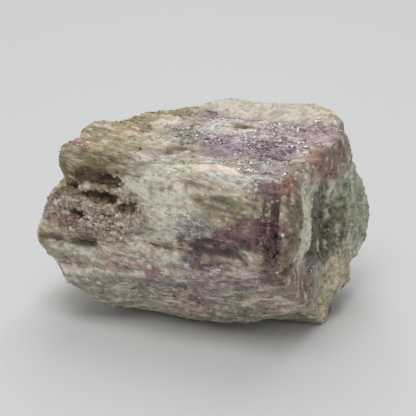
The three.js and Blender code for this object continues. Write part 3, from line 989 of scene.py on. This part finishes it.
def mesh_arrays(mesh: bpy.types.Mesh) -> tuple[np.ndarray, np.ndarray]:
    """Reads a mesh's points and the way they face.

    Args:
        mesh: A mesh in metres.

    Returns:
        The points in millimetres, and their unit normals.
    """
    points = np.zeros(len(mesh.vertices) * 3)
    normals = np.zeros(len(mesh.vertices) * 3)
    mesh.vertices.foreach_get("co", points)
    mesh.vertex_normals.foreach_get("vector", normals)
    return points.reshape(-1, 3) / MM, normals.reshape(-1, 3)


@dataclass(frozen=True)
class Skin:
    """The finished stone and what small pieces need to sit on it, a row for each point."""

    piece: bpy.types.Object
    points: np.ndarray
    facing: np.ndarray
    cavity: np.ndarray
    pigment: Pigment


@dataclass
class Stone:
    """The whole stone: one closed skin over the solid, with every break that is wide enough
    to be a shape."""

    heart: Triple = (0.1, -0.45, 22.0)
    box_half: Triple = (29.3, 23.5, 21.4)
    cells: tuple[int, int, int] = (168, 108, 106)
    weld: float = 0.001
    rounding: float = 0.5
    rounding_passes: int = 5
    hollow_passes: int = 24
    hollow_depth: float = 0.75
    name: str = "stone"

    def build(self, solid: bpy.types.Object, rock: RockFinish, minerals: Mineralogy) -> Skin:
        """Makes the stone's skin and dresses it.

        Args:
            solid: The CAD node that the skin follows.
            rock: The finish of the rock.
            minerals: Where each mineral shows.

        Returns:
            The finished skin.
        """
        shape = self._block()
        self._lay_on(shape, self._surface(solid))
        for _ in range(self.rounding_passes):
            bmesh.ops.smooth_vert(
                shape,
                verts=shape.verts,
                factor=self.rounding,
                use_axis_x=True,
                use_axis_y=True,
                use_axis_z=True,
            )
        bmesh.ops.recalc_face_normals(shape, faces=shape.faces)
        mesh = bpy.data.meshes.new(self.name)
        shape.to_mesh(mesh)
        shape.free()
        _, facing = mesh_arrays(mesh)
        self._break(mesh, minerals)
        points, normals = mesh_arrays(mesh)
        cavity = self._cavity(mesh, points, normals)
        pigment = minerals.pigment(points, facing, cavity)
        pigment.store(mesh, cavity)
        mesh.shade_smooth()
        mesh.materials.append(rock.material())
        stone = bpy.data.objects.new(self.name, mesh)
        bpy.context.scene.collection.objects.link(stone)
        return Skin(stone, points, facing, cavity, pigment)

    def _block(self) -> bmesh.types.BMesh:
        """Cuts a box into a fine grid.

        Returns:
            The box in metres, with the heart of the stone at its middle.
        """
        shape = bmesh.new()
        bmesh.ops.create_cube(shape, size=2.0)
        bmesh.ops.scale(shape, vec=Vector(self.box_half) * MM, verts=shape.verts)
        for axis, cuts in enumerate(self.cells):
            edges = [
                edge
                for edge in shape.edges
                if max(range(3), key=lambda k: abs((edge.verts[0].co - edge.verts[1].co)[k])) == axis
            ]
            bmesh.ops.subdivide_edges(shape, edges=edges, cuts=cuts - 1, use_grid_fill=True)
        return shape

    def _surface(self, solid: bpy.types.Object) -> BVHTree:
        """Merges a copy of the solid's loose triangles and readies it for casting on.

        Args:
            solid: The CAD node that the skin follows.

        Returns:
            The solid's surface.
        """
        copy = bmesh.new()
        copy.from_mesh(solid.data)
        bmesh.ops.remove_doubles(copy, verts=copy.verts, dist=self.weld * MM)
        tree = BVHTree.FromBMesh(copy)
        copy.free()
        return tree

    def _lay_on(self, shape: bmesh.types.BMesh, surface: BVHTree) -> None:
        """Moves each point of the grid outwards onto the solid's surface.

        Args:
            shape: The grid.
            surface: The solid's surface.
        """
        heart = Vector(self.heart) * MM
        for vert in shape.verts:
            hit = surface.ray_cast(heart, vert.co.normalized())[0]
            vert.co = hit if hit is not None else heart + vert.co

    @staticmethod
    def _break(mesh: bpy.types.Mesh, minerals: Mineralogy) -> None:
        """Roughens the smooth skin with the fine relief of the breaks.

        Args:
            mesh: The smooth skin.
            minerals: Where each mineral shows.
        """
        points, normals = mesh_arrays(mesh)
        pigment = minerals.pigment(points, normals, np.zeros(len(points)))
        moved = points + normals * BrokenRelief().heights(points, pigment)[:, None]
        moved[:, 2] = np.maximum(moved[:, 2], 0)
        mesh.vertices.foreach_set("co", (moved * MM).ravel())
        mesh.update()

    def _cavity(self, mesh: bpy.types.Mesh, points: np.ndarray, normals: np.ndarray) -> np.ndarray:
        """Measures how deep each point lies under the stone smoothed over.

        Args:
            mesh: The stone's mesh.
            points: Its points, in millimetres.
            normals: The way they face.

        Returns:
            A depth for each point, from 0 on the level to 1 in a hollow.
        """
        ends = np.zeros(len(mesh.edges) * 2, dtype=np.int64)
        mesh.edges.foreach_get("vertices", ends)
        near, far = ends.reshape(-1, 2).T
        count = np.bincount(near, minlength=len(points)) + np.bincount(far, minlength=len(points))
        level = points.copy()
        for _ in range(self.hollow_passes):
            for axis in range(3):
                total = np.bincount(near, level[far, axis], len(points))
                total += np.bincount(far, level[near, axis], len(points))
                level[:, axis] = total / count
        depth = np.sum((level - points) * normals, axis=1)
        return np.clip(depth / self.hollow_depth, 0, 1)


@dataclass(frozen=True)
class Sites:
    """Places on the stone where small pieces sit."""

    points: np.ndarray
    normals: np.ndarray
    pigment: Pigment

    @staticmethod
    def on(skin: Skin, draw: np.random.Generator, count: int, wanted: Wanted) -> Sites:
        """Draws places on the stone.

        Args:
            skin: The finished stone.
            draw: The source of chance.
            count: How many places to draw.
            wanted: Gives each place its chance.

        Returns:
            The drawn places.
        """
        chance = wanted.chance(skin)
        chosen = draw.choice(len(chance), size=count, replace=False, p=chance / chance.sum())
        return Sites(skin.points[chosen], skin.facing[chosen], skin.pigment.picked(chosen))


@dataclass(frozen=True)
class Wanted:
    """Which parts of the surface a kind of small piece keeps to."""

    lustre: float = 0.0
    fibres: float = 0.0
    crumbs: float = 0.0
    anywhere: float = 0.05
    lowest: float = 1.5
    gathered_wave: Triple = (5, 2.5, 2.5)
    gathered_from: Span = (-0.3, 0.5)
    fibres_within: Span = (26, 20)
    in_hollows: float = 0.2

    def chance(self, skin: Skin) -> np.ndarray:
        """Weighs each point of the surface.

        Args:
            skin: The finished stone.

        Returns:
            One weight for each point, at least 0.
        """
        points, pigment = skin.points, skin.pigment
        crumbly = BrokenRelief().crumbly(points) * Side.FRONT.faced(skin.facing)
        gathered = ramp(*self.gathered_from, Lattice.waves(points, self.gathered_wave, Seed.GATHERED))
        fibrous = (1 - pigment.upright) * pigment.fibrous**2
        fibrous = fibrous * ramp(*self.fibres_within, np.abs(points[:, 0]))
        weight = (self.lustre * pigment.lustre**2 + self.fibres * fibrous) * gathered
        weight = weight + self.crumbs * crumbly + self.anywhere
        return weight * (points[:, 2] > self.lowest) * at_least(self.in_hollows, 1 - skin.cavity)


@dataclass(frozen=True)
class Turn:
    """Which way each small piece lies: its long, cross and standing axes, a row for each."""

    long: np.ndarray
    cross: np.ndarray
    stand: np.ndarray

    @staticmethod
    def along(guide: np.ndarray, stand: np.ndarray) -> Turn:
        """Lays pieces along a guide, flat against the way they stand."""
        cross = unit(np.cross(stand, guide))
        return Turn(unit(np.cross(cross, stand)), cross, stand)


@dataclass
class SmallPieces:
    """Many small closed shapes of one kind, joined in one mesh."""

    name: str
    count: int
    wanted: Wanted
    seed: Seed
    bright: Span

    def masters(self) -> list[bmesh.types.BMesh]:
        """Makes the shapes that are repeated, each about one unit across."""
        raise NotImplementedError

    def place(self, sites: Sites, draw: np.random.Generator) -> tuple[Turn, np.ndarray, np.ndarray]:
        """Says how each piece lies, how large it is and where its middle is.

        Args:
            sites: The places on the stone.
            draw: The source of chance.

        Returns:
            The turns, the sizes and the middles, in millimetres.
        """
        raise NotImplementedError

    def brighten(self, sites: Sites, draw: np.random.Generator) -> np.ndarray:
        """Gives each piece its own brightness beside the stone under it.

        Args:
            sites: The places on the stone.
            draw: The source of chance.

        Returns:
            One factor for each piece.
        """
        return draw.uniform(*self.bright, len(sites.points))

    def build(self, skin: Skin, finish: bpy.types.Material) -> bpy.types.Object:
        """Makes all the pieces as one object.

        Args:
            skin: The finished stone.
            finish: The material of the pieces.

        Returns:
            The finished object.
        """
        draw = np.random.default_rng(self.seed)
        sites = Sites.on(skin, draw, self.count, self.wanted)
        turn, size, middle = self.place(sites, draw)
        bright = self.brighten(sites, draw)
        corners, faces, owners = [], [], []
        masters = self.masters()
        first = 0
        for kind, master in enumerate(masters):
            mine = np.arange(kind, self.count, len(masters))
            local = np.array([vert.co for vert in master.verts])
            rings = [[vert.index for vert in face.verts] for face in master.faces]
            scaled = local[None, :, :] * size[mine][:, None, :]
            spread = middle[mine][:, None, :] + scaled[:, :, 0:1] * turn.long[mine][:, None, :]
            spread = spread + scaled[:, :, 1:2] * turn.cross[mine][:, None, :]
            spread = spread + scaled[:, :, 2:3] * turn.stand[mine][:, None, :]
            corners.append(spread.reshape(-1, 3))
            owners.append(np.repeat(mine, len(local)))
            for copy in range(len(mine)):
                start = first + copy * len(local)
                faces.extend([[start + corner for corner in ring] for ring in rings])
            first += len(mine) * len(local)
            master.free()
        points = np.concatenate(corners)
        points[:, 2] = np.maximum(points[:, 2], 0)
        mesh = bpy.data.meshes.new(self.name)
        mesh.from_pydata((points * MM).tolist(), [], faces)
        owner = np.concatenate(owners)
        pigment = sites.pigment.picked(owner).shaded(bright[owner][:, None])
        pigment.store(mesh, np.zeros(len(points)))
        mesh.materials.append(finish)
        pieces = bpy.data.objects.new(self.name, mesh)
        bpy.context.scene.collection.objects.link(pieces)
        return pieces


@dataclass
class MicaFlakes(SmallPieces):
    """Six-sided flakes of mica, which flash where they face a lamp; some are coloured nearly white as painted
    glints.
    """

    name: str = "mica_flakes"
    count: int = 6000
    wanted: Wanted = Wanted(lustre=1.0, anywhere=0.002)
    seed: Seed = Seed.LOOSE_MICA
    bright: Span = (0.75, 1.2)
    # Painted glints: flakes in clumps coloured nearly white, whether or not they face a lamp.
    painted_glint_bright: Span = (2.0, 3.4)
    painted_glint_share: float = 0.42
    painted_glint_wave: Triple = (3.5, 2.5, 2.5)
    painted_glint_from: Span = (0.05, 0.5)
    painted_glint_least: float = 0.1
    across: Span = (0.35, 0.8)
    across_power: float = 1.5
    length_share: float = 1.25
    thick: float = 0.06
    sides: int = 6
    top_radius: float = 0.42
    lean: float = 0.25
    lift: float = 0.02
    lift_share: float = 0.08

    def masters(self) -> list[bmesh.types.BMesh]:
        """Makes a six-sided plate.

        Returns:
            The plate, one unit across.
        """
        plate = bmesh.new()
        bmesh.ops.create_cone(
            plate, cap_ends=True, segments=self.sides, radius1=0.5, radius2=self.top_radius, depth=1.0
        )
        return [plate]

    def brighten(self, sites: Sites, draw: np.random.Generator) -> np.ndarray:
        """Gives most flakes the stone's own shade, and colours a share of those in clumps nearly
        white as painted glints.

        Args:
            sites: The places on the stone.
            draw: The source of chance.

        Returns:
            One factor for each flake.
        """
        # Painted glints: a share of the clumped flakes is made nearly white.
        field = Lattice.waves(sites.points, self.painted_glint_wave, Seed.PAINTED_GLINT_CLUMPS)
        clump = at_least(self.painted_glint_least, ramp(*self.painted_glint_from, field))
        glinting = draw.random(self.count) < self.painted_glint_share * clump
        white = draw.uniform(*self.painted_glint_bright, self.count)
        return np.where(glinting, white, draw.uniform(*self.bright, self.count))

    def place(self, sites: Sites, draw: np.random.Generator) -> tuple[Turn, np.ndarray, np.ndarray]:
        """Lays the flakes almost flat, each leaning a little its own way.

        Args:
            sites: The places on the stone.
            draw: The source of chance.

        Returns:
            The turns, the sizes and the middles, in millimetres.
        """
        stand = unit(sites.normals + draw.normal(0, self.lean, (self.count, 3)))
        turn = Turn.along(unit(draw.normal(0, 1, (self.count, 3))), stand)
        across = draw.uniform(*self.across, self.count) ** self.across_power
        thick = np.full(self.count, self.thick)
        size = np.stack([across * self.length_share, across, thick], axis=1)
        return turn, size, sites.points + sites.normals * (self.lift + self.lift_share * across[:, None])


@dataclass
class Splinters(SmallPieces):
    """Thin broken needles of tourmaline that stand a little proud of the stone."""

    name: str = "splinters"
    count: int = 1500
    wanted: Wanted = Wanted(fibres=1.0, anywhere=0.0)
    seed: Seed = Seed.LOOSE_SPLINTERS
    bright: Span = (0.8, 1.25)
    length: Span = (1.2, 3.6)
    width: Span = (0.3, 0.7)
    flatness: float = 0.7
    sides: int = 5
    tip: float = 0.35
    slant: float = 0.12
    stray: float = 0.04
    sunk: float = 0.22

    def masters(self) -> list[bmesh.types.BMesh]:
        """Makes a five-sided needle that narrows at both ends, with its ends broken aslant.

        Returns:
            The needle, one unit long.
        """
        needle = bmesh.new()
        bmesh.ops.create_cone(
            needle, cap_ends=True, segments=self.sides, radius1=0.5, radius2=0.5, depth=1.0
        )
        long = [edge for edge in needle.edges if abs(edge.verts[0].co.z - edge.verts[1].co.z) > 0.5]
        bmesh.ops.subdivide_edges(needle, edges=long, cuts=2)
        for vert in needle.verts:
            if abs(vert.co.z) > 0.4:
                vert.co.x *= self.tip
                vert.co.y *= self.tip
                vert.co.z += self.slant * vert.co.x
        bmesh.ops.rotate(needle, matrix=Matrix.Rotation(math.pi / 2, 3, "Y"), verts=needle.verts)
        return [needle]

    def place(self, sites: Sites, draw: np.random.Generator) -> tuple[Turn, np.ndarray, np.ndarray]:
        """Lays the needles along the prism, more than half sunk in the stone.

        Args:
            sites: The places on the stone.
            draw: The source of chance.

        Returns:
            The turns, the sizes and the middles, in millimetres.
        """
        guide = np.tile(np.array([1.0, 0.0, 0.0]), (self.count, 1))
        guide = guide + draw.normal(0, self.stray, (self.count, 3))
        turn = Turn.along(guide, sites.normals)
        length = draw.uniform(*self.length, self.count)
        width = draw.uniform(*self.width, self.count)
        size = np.stack([length, width, width * self.flatness], axis=1)
        return turn, size, sites.points - sites.normals * (self.sunk * width[:, None])


@dataclass
class Crumbs(SmallPieces):
    """Angular crumbs of feldspar and mica that cling where the stone crumbles."""

    name: str = "crumbs"
    count: int = 1800
    wanted: Wanted = Wanted(crumbs=1.0, anywhere=0.006)
    seed: Seed = Seed.LOOSE_CRUMBS
    bright: Span = (0.8, 1.25)
    across: Span = (0.35, 1.1)
    kinds: int = 6
    knocked: Span = (0.65, 1.15)
    uneven: Span = (0.7, 1.2)

    def masters(self) -> list[bmesh.types.BMesh]:
        """Makes several lumps and knocks each into its own shape.

        Returns:
            The lumps, each about one unit across.
        """
        draw = np.random.default_rng(self.seed + 1)
        lumps = []
        for _ in range(self.kinds):
            lump = bmesh.new()
            bmesh.ops.create_icosphere(lump, subdivisions=1, radius=0.5)
            for vert in lump.verts:
                vert.co *= draw.uniform(*self.knocked)
            lumps.append(lump)
        return lumps

    def place(self, sites: Sites, draw: np.random.Generator) -> tuple[Turn, np.ndarray, np.ndarray]:
        """Turns the crumbs every way and sinks each by half.

        Args:
            sites: The places on the stone.
            draw: The source of chance.

        Returns:
            The turns, the sizes and the middles, in millimetres.
        """
        stand = unit(draw.normal(0, 1, (self.count, 3)))
        turn = Turn.along(unit(draw.normal(0, 1, (self.count, 3))), stand)
        across = draw.uniform(*self.across, self.count)
        size = across[:, None] * draw.uniform(*self.uneven, (self.count, 3))
        return turn, size, sites.points


def add_node(
    tree: bpy.types.NodeTree, kind: str, inputs: dict[str | int, object] | None = None, **settings: object
) -> bpy.types.Node:
    """Adds a node with its settings and links.

    Args:
        tree: The node tree.
        kind: The node's type.
        inputs: A value or another node's output for each socket.
        settings: Values for the node's own properties.

    Returns:
        The new node.
    """
    node = tree.nodes.new(kind)
    for name, value in settings.items():
        setattr(node, name, value)
    for socket, value in (inputs or {}).items():
        if isinstance(value, bpy.types.NodeSocket):
            tree.links.new(value, node.inputs[socket])
        else:
            node.inputs[socket].default_value = value
    return node


@dataclass(frozen=True)
class TintedFinish:
    """A finish that takes its light and its dark shade from the mesh that it covers."""

    name: str

    def material(self) -> bpy.types.Material:
        """Builds the material, or gives it again if it is already made.

        Returns:
            The material.
        """
        made = bpy.data.materials.get(self.name)
        if made is not None:
            return made
        finish = bpy.data.materials.new(self.name)
        finish.use_nodes = True
        tree = finish.node_tree
        tree.nodes.clear()
        where = add_node(tree, "ShaderNodeTexCoord").outputs["Object"]
        shader = add_node(tree, "ShaderNodeBsdfPrincipled", self._inputs(tree, where))
        add_node(tree, "ShaderNodeOutputMaterial", {"Surface": shader.outputs["BSDF"]})
        return finish

    def _inputs(
        self, tree: bpy.types.NodeTree, where: bpy.types.NodeSocket
    ) -> dict[str | int, object]:
        """Works out the inputs of the shader.

        Args:
            tree: The node tree.
            where: Object coordinates.

        Returns:
            A value or another node's output for each input.
        """
        raise NotImplementedError

    def _tint(self, tree: bpy.types.NodeTree, share: bpy.types.NodeSocket) -> bpy.types.NodeSocket:
        """Blends the two shades of the mesh.

        Args:
            tree: The node tree.
            share: How much of the light shade shows.

        Returns:
            The colour.
        """
        light = self._attribute(tree, "tint_light").outputs["Color"]
        dark = self._attribute(tree, "tint_dark").outputs["Color"]
        return add_node(
            tree, "ShaderNodeMix", {0: share, 6: dark, 7: light}, data_type="RGBA"
        ).outputs[2]

    @staticmethod
    def _attribute(tree: bpy.types.NodeTree, name: str) -> bpy.types.Node:
        """Reads one of the mesh's own attributes."""
        return add_node(tree, "ShaderNodeAttribute", attribute_name=name)

    @staticmethod
    def _vector(
        tree: bpy.types.NodeTree, operation: str, inputs: dict[str | int, object]
    ) -> bpy.types.NodeSocket:
        """One step of arithmetic on vectors."""
        return add_node(tree, "ShaderNodeVectorMath", inputs, operation=operation).outputs["Vector"]

    def _scaled(
        self, tree: bpy.types.NodeTree, where: bpy.types.NodeSocket, size: Triple
    ) -> bpy.types.NodeSocket:
        """Scales coordinates in metres so that one unit is one pattern size."""
        factors = tuple(1 / (length * MM) for length in size)
        return self._vector(tree, "MULTIPLY", {0: where, 1: factors})


@dataclass(frozen=True)
class Pattern:
    """A noise in the rock: its size in millimetres along X, Y and Z, and how fine it goes."""

    size: Triple
    detail: float


@dataclass(frozen=True)
class RockPatterns:
    """The patterns in the rock, at real sizes."""

    # Striations of tourmaline are 0.1 mm and finer; they are drawn coarser so that they show.
    fibre: Pattern = Pattern((3.2, 0.42, 0.38), 4.0)
    blade: Pattern = Pattern((0.5, 0.5, 2.4), 4.0)
    grain: Pattern = Pattern((1.0, 0.8, 0.8), 5.0)
    speck: Pattern = Pattern((0.42, 0.36, 0.36), 3.0)
    cloud: Pattern = Pattern((3.6, 2.2, 2.2), 3.0)
    # Mica flakes of 0.2 mm and up; they are drawn no finer than two points of the picture.
    glint: Triple = (0.55, 0.5, 0.5)


@dataclass(frozen=True)
class RockFinish(TintedFinish):
    """Broken tourmaline, mica and feldspar: striated, cleaved and weathered, so it is satin
    along the fibres, has painted shade in the hollows and flashes in points where a flake faces a lamp."""

    name: str = "tourmaline_rock_broken"
    patterns: RockPatterns = RockPatterns()
    pattern_roughness: float = 0.62
    # How strongly the grain, the specks and the clouds vary the shade.
    shade_gains: Triple = (2.3, 1.5, 1.7)
    # How strongly the specks and the clouds vary the gloss.
    gloss_gains: Span = (1.6, 1.0)
    # Painted shade: how far the colour of the deepest hollows is darkened.
    hollow_shade: float = 0.45
    roughness: Span = (0.42, 0.72)
    ior: float = 1.6
    fibre_relief: float = 0.10
    speck_relief: float = 0.09
    relief: float = 1.6
    glint_least: float = 0.35
    glint_lean: float = 0.9
    coat: float = 0.18
    coat_roughness: float = 0.12

    def _inputs(
        self, tree: bpy.types.NodeTree, where: bpy.types.NodeSocket
    ) -> dict[str | int, object]:
        """Works out the inputs of the shader.

        Args:
            tree: The node tree.
            where: Object coordinates.

        Returns:
            A value or another node's output for each input.
        """
        upright, lustre, cavity, fibrous = (
            self._attribute(tree, name).outputs["Fac"]
            for name in ("upright", "lustre", "cavity", "fibrous")
        )
        fibre = self._noise(tree, where, self.patterns.fibre)
        blade = self._noise(tree, where, self.patterns.blade)
        long = self._mix(tree, upright, fibre, blade)
        grain = self._mix(tree, fibrous, self._noise(tree, where, self.patterns.grain), long)
        speck = self._noise(tree, where, self.patterns.speck)
        cloud = self._noise(tree, where, self.patterns.cloud)
        tint = self._tint(tree, self._gain(tree, (grain, speck, cloud), self.shade_gains))
        # Painted shade: the colour darkens with the depth of the hollow.
        shadow = self._math(tree, "MULTIPLY_ADD", cavity, -self.hollow_shade, 1.0)
        dull = self._gain(tree, (speck, cloud), self.gloss_gains)
        smoothest, roughest = self.roughness
        height = self._math(tree, "MULTIPLY", grain, self.fibre_relief)
        height = self._math(tree, "MULTIPLY_ADD", speck, self.speck_relief, height)
        bump = add_node(
            tree, "ShaderNodeBump", {"Strength": 1.0, "Distance": self.relief * MM, "Height": height}
        ).outputs["Normal"]
        return {
            "Base Color": self._vector(tree, "SCALE", {0: tint, "Scale": shadow}),
            "Roughness": self._math(tree, "MULTIPLY_ADD", dull, roughest - smoothest, smoothest),
            "IOR": self.ior,
            "Normal": bump,
            "Coat Weight": self.coat,
            "Coat Roughness": self.coat_roughness,
            "Coat Normal": self._glints(tree, where, lustre),
        }

    def _glints(
        self, tree: bpy.types.NodeTree, where: bpy.types.NodeSocket, lustre: bpy.types.NodeSocket
    ) -> bpy.types.NodeSocket:
        """Leans each tiny flake its own way, more where the rock is full of mica.

        Args:
            tree: The node tree.
            where: Object coordinates.
            lustre: How much of the rock sparkles.

        Returns:
            A normal for the glossy coat.
        """
        scaled = self._scaled(tree, where, self.patterns.glint)
        flake = add_node(tree, "ShaderNodeTexVoronoi", {"Vector": scaled, "Scale": 1.0}).outputs["Color"]
        centred = self._vector(tree, "SUBTRACT", {0: flake, 1: (0.5, 0.5, 0.5)})
        reach = self._math(tree, "MULTIPLY_ADD", lustre, self.glint_lean, self.glint_least)
        leaning = self._vector(tree, "SCALE", {0: centred, "Scale": reach})
        facing = add_node(tree, "ShaderNodeNewGeometry").outputs["Normal"]
        return self._vector(tree, "NORMALIZE", {0: self._vector(tree, "ADD", {0: facing, 1: leaning})})

    def _noise(
        self, tree: bpy.types.NodeTree, where: bpy.types.NodeSocket, pattern: Pattern
    ) -> bpy.types.NodeSocket:
        """Draws one of the patterns.

        Args:
            tree: The node tree.
            where: Object coordinates.
            pattern: The noise to draw.

        Returns:
            A value from 0 to 1.
        """
        inputs = {
            "Vector": self._scaled(tree, where, pattern.size),
            "Scale": 1.0,
            "Detail": pattern.detail,
            "Roughness": self.pattern_roughness,
        }
        return add_node(tree, "ShaderNodeTexNoise", inputs).outputs["Fac"]

    @staticmethod
    def _math(
        tree: bpy.types.NodeTree,
        operation: str,
        first: bpy.types.NodeSocket,
        second: float | bpy.types.NodeSocket,
        third: float | bpy.types.NodeSocket = 0.0,
    ) -> bpy.types.NodeSocket:
        """One step of arithmetic."""
        return add_node(
            tree, "ShaderNodeMath", {0: first, 1: second, 2: third}, operation=operation
        ).outputs["Value"]

    @staticmethod
    def _mix(
        tree: bpy.types.NodeTree,
        share: bpy.types.NodeSocket,
        first: bpy.types.NodeSocket,
        second: bpy.types.NodeSocket,
    ) -> bpy.types.NodeSocket:
        """Blends two values by a share."""
        return add_node(
            tree, "ShaderNodeMix", {0: share, 2: first, 3: second}, data_type="FLOAT"
        ).outputs[0]

    def _gain(
        self,
        tree: bpy.types.NodeTree,
        noises: tuple[bpy.types.NodeSocket, ...],
        gains: tuple[float, ...],
    ) -> bpy.types.NodeSocket:
        """Adds noises around one half.

        Args:
            tree: The node tree.
            noises: Values from 0 to 1.
            gains: How strongly each noise counts.

        Returns:
            The sum, kept from 0 to 1.
        """
        total: float | bpy.types.NodeSocket = 0.5 - 0.5 * sum(gains)
        for noise, gain in zip(noises, gains):
            total = self._math(tree, "MULTIPLY_ADD", noise, gain, total)
        return add_node(tree, "ShaderNodeClamp", {0: total}).outputs[0]


@dataclass(frozen=True)
class MicaFinish(TintedFinish):
    """Lepidolite mica, cleaved into flakes: smooth and pearly, so it turns white where it faces
    a lamp and keeps its lilac elsewhere."""

    name: str = "lepidolite_mica_cleaved"
    roughness: Span = (0.16, 0.36)
    ior: float = 1.58
    coat: float = 0.5
    coat_roughness: float = 0.1
    flake: Triple = (0.8, 0.8, 0.8)

    def _inputs(
        self, tree: bpy.types.NodeTree, where: bpy.types.NodeSocket
    ) -> dict[str | int, object]:
        """Works out the inputs of the shader.

        Args:
            tree: The node tree.
            where: Object coordinates.

        Returns:
            A value or another node's output for each input.
        """
        scaled = self._scaled(tree, where, self.flake)
        cloud = add_node(tree, "ShaderNodeTexNoise", {"Vector": scaled, "Scale": 1.0}).outputs["Fac"]
        smoothest, roughest = self.roughness
        rough = add_node(
            tree, "ShaderNodeMapRange", {"Value": cloud, "To Min": smoothest, "To Max": roughest}
        ).outputs["Result"]
        return {
            "Base Color": self._tint(tree, cloud),
            "Roughness": rough,
            "IOR": self.ior,
            "Coat Weight": self.coat,
            "Coat Roughness": self.coat_roughness,
        }


@dataclass(frozen=True)
class PaperFinish:
    """Matt white paper: even and without gloss."""

    name: str = "matt_paper"
    shade: str = "#e6e7e6"
    roughness: float = 0.9

    def material(self) -> bpy.types.Material:
        """Builds the material.

        Returns:
            The material.
        """
        paper = bpy.data.materials.new(self.name)
        paper.use_nodes = True
        shader = paper.node_tree.nodes["Principled BSDF"]
        shader.inputs["Base Color"].default_value = (*linear(self.shade), 1)
        shader.inputs["Roughness"].default_value = self.roughness
        return paper


@dataclass(frozen=True)
class Panel:
    """A soft lamp: a square panel that looks at the stone."""

    name: str
    place: Triple
    side: float
    power: float


@dataclass(frozen=True)
class Studio:
    """The paper and the lamps, in millimetres and watts."""

    paper_side: float = 3000.0
    sky: str = "#f2f5f8"
    sky_strength: float = 0.34
    panels: tuple[Panel, ...] = (
        Panel("overhead_panel", (-60, 240, 540), 440, 0.98),
        Panel("front_panel", (40, -260, 600), 300, 1.3),
        Panel("spark_lamp_behind", (-220, 420, 330), 60, 0.12),
        Panel("spark_lamp_above", (60, -60, 620), 50, 0.12),
    )
    look_at: Triple = (0.0, 0.0, 22.0)

    def build(self) -> None:
        """Lays the paper and hangs the lamps."""
        scene = bpy.context.scene
        scene.view_settings.view_transform = "Standard"
        paper = bmesh.new()
        bmesh.ops.create_grid(paper, x_segments=8, y_segments=8, size=self.paper_side * MM / 2)
        mesh = bpy.data.meshes.new("paper")
        paper.to_mesh(mesh)
        paper.free()
        mesh.materials.append(PaperFinish().material())
        floor = bpy.data.objects.new("paper", mesh)
        scene.collection.objects.link(floor)
        for panel in self.panels:
            self._hang(panel)
        world = bpy.data.worlds.new("studio")
        world.use_nodes = True
        sky = world.node_tree.nodes["Background"]
        sky.inputs["Color"].default_value = (*linear(self.sky), 1)
        sky.inputs["Strength"].default_value = self.sky_strength
        scene.world = world

    def _hang(self, panel: Panel) -> None:
        """Hangs one lamp so that it looks at the stone.

        Args:
            panel: The lamp.
        """
        light = bpy.data.lights.new(panel.name, "AREA")
        light.size = panel.side * MM
        light.energy = panel.power
        lamp = bpy.data.objects.new(panel.name, light)
        lamp.location = Vector(panel.place) * MM
        away = Vector(panel.place) - Vector(self.look_at)
        lamp.rotation_euler = away.to_track_quat("Z", "Y").to_euler()
        bpy.context.scene.collection.objects.link(lamp)


@dataclass(frozen=True)
class CloseUpCamera:
    """The photograph's viewpoint: a long lens close to the stone, a little above it. Angles are
    in degrees and lengths in millimetres."""

    azimuth: float = 25.0
    elevation: float = 23.0
    distance: float = 420.0
    aim: Triple = (0.1, -0.45, 22.0)
    lens: float = 159.9
    sensor: float = 36.0
    shift: Span = (0.012, 0.0144)
    nearest: float = 10.0

    def build(self) -> None:
        """Sets up the camera."""
        lens = bpy.data.cameras.new("close_up")
        lens.lens = self.lens
        lens.sensor_width = self.sensor
        lens.shift_x, lens.shift_y = self.shift
        lens.clip_start = self.nearest * MM
        around, above = math.radians(self.azimuth), math.radians(self.elevation)
        back = Vector(
            (
                math.sin(around) * math.cos(above),
                -math.cos(around) * math.cos(above),
                math.sin(above),
            )
        )
        camera = bpy.data.objects.new("close_up", lens)
        camera.location = (Vector(self.aim) + back * self.distance) * MM
        camera.rotation_euler = back.to_track_quat("Z", "Y").to_euler()
        bpy.context.scene.collection.objects.link(camera)
        bpy.context.scene.camera = camera


def report(piece: bpy.types.Object) -> None:
    """Logs a finished piece and how many triangles it has."""
    piece.data.calc_loop_triangles()
    LOG.info("%s: %d triangles", piece.name, len(piece.data.loop_triangles))


def fit(piece: bpy.types.Object, stands_for: str | None = None) -> None:
    """Sets a piece on the frame.

    Args:
        piece: The finished piece.
        stands_for: The CAD node that it replaces, if any.
    """
    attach(piece, BODY)
    if stands_for is not None:
        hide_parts(stands_for)
    report(piece)


def main() -> None:
    """Builds the camera, the studio, the stone and its small pieces, in that order."""
    logging.basicConfig(level=logging.INFO, format="%(name)s: %(message)s")
    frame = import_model()
    CloseUpCamera().build()
    Studio().build()
    minerals = Mineralogy()
    rock = RockFinish()
    skin = Stone().build(frame["nodes"][STONE_NODE], rock, minerals)
    fit(skin.piece, STONE_NODE)
    fit(MicaFlakes().build(skin, MicaFinish().material()))
    fit(Splinters().build(skin, rock.material()))
    fit(Crumbs().build(skin, rock.material()))


if __name__ == "__main__":
    main()
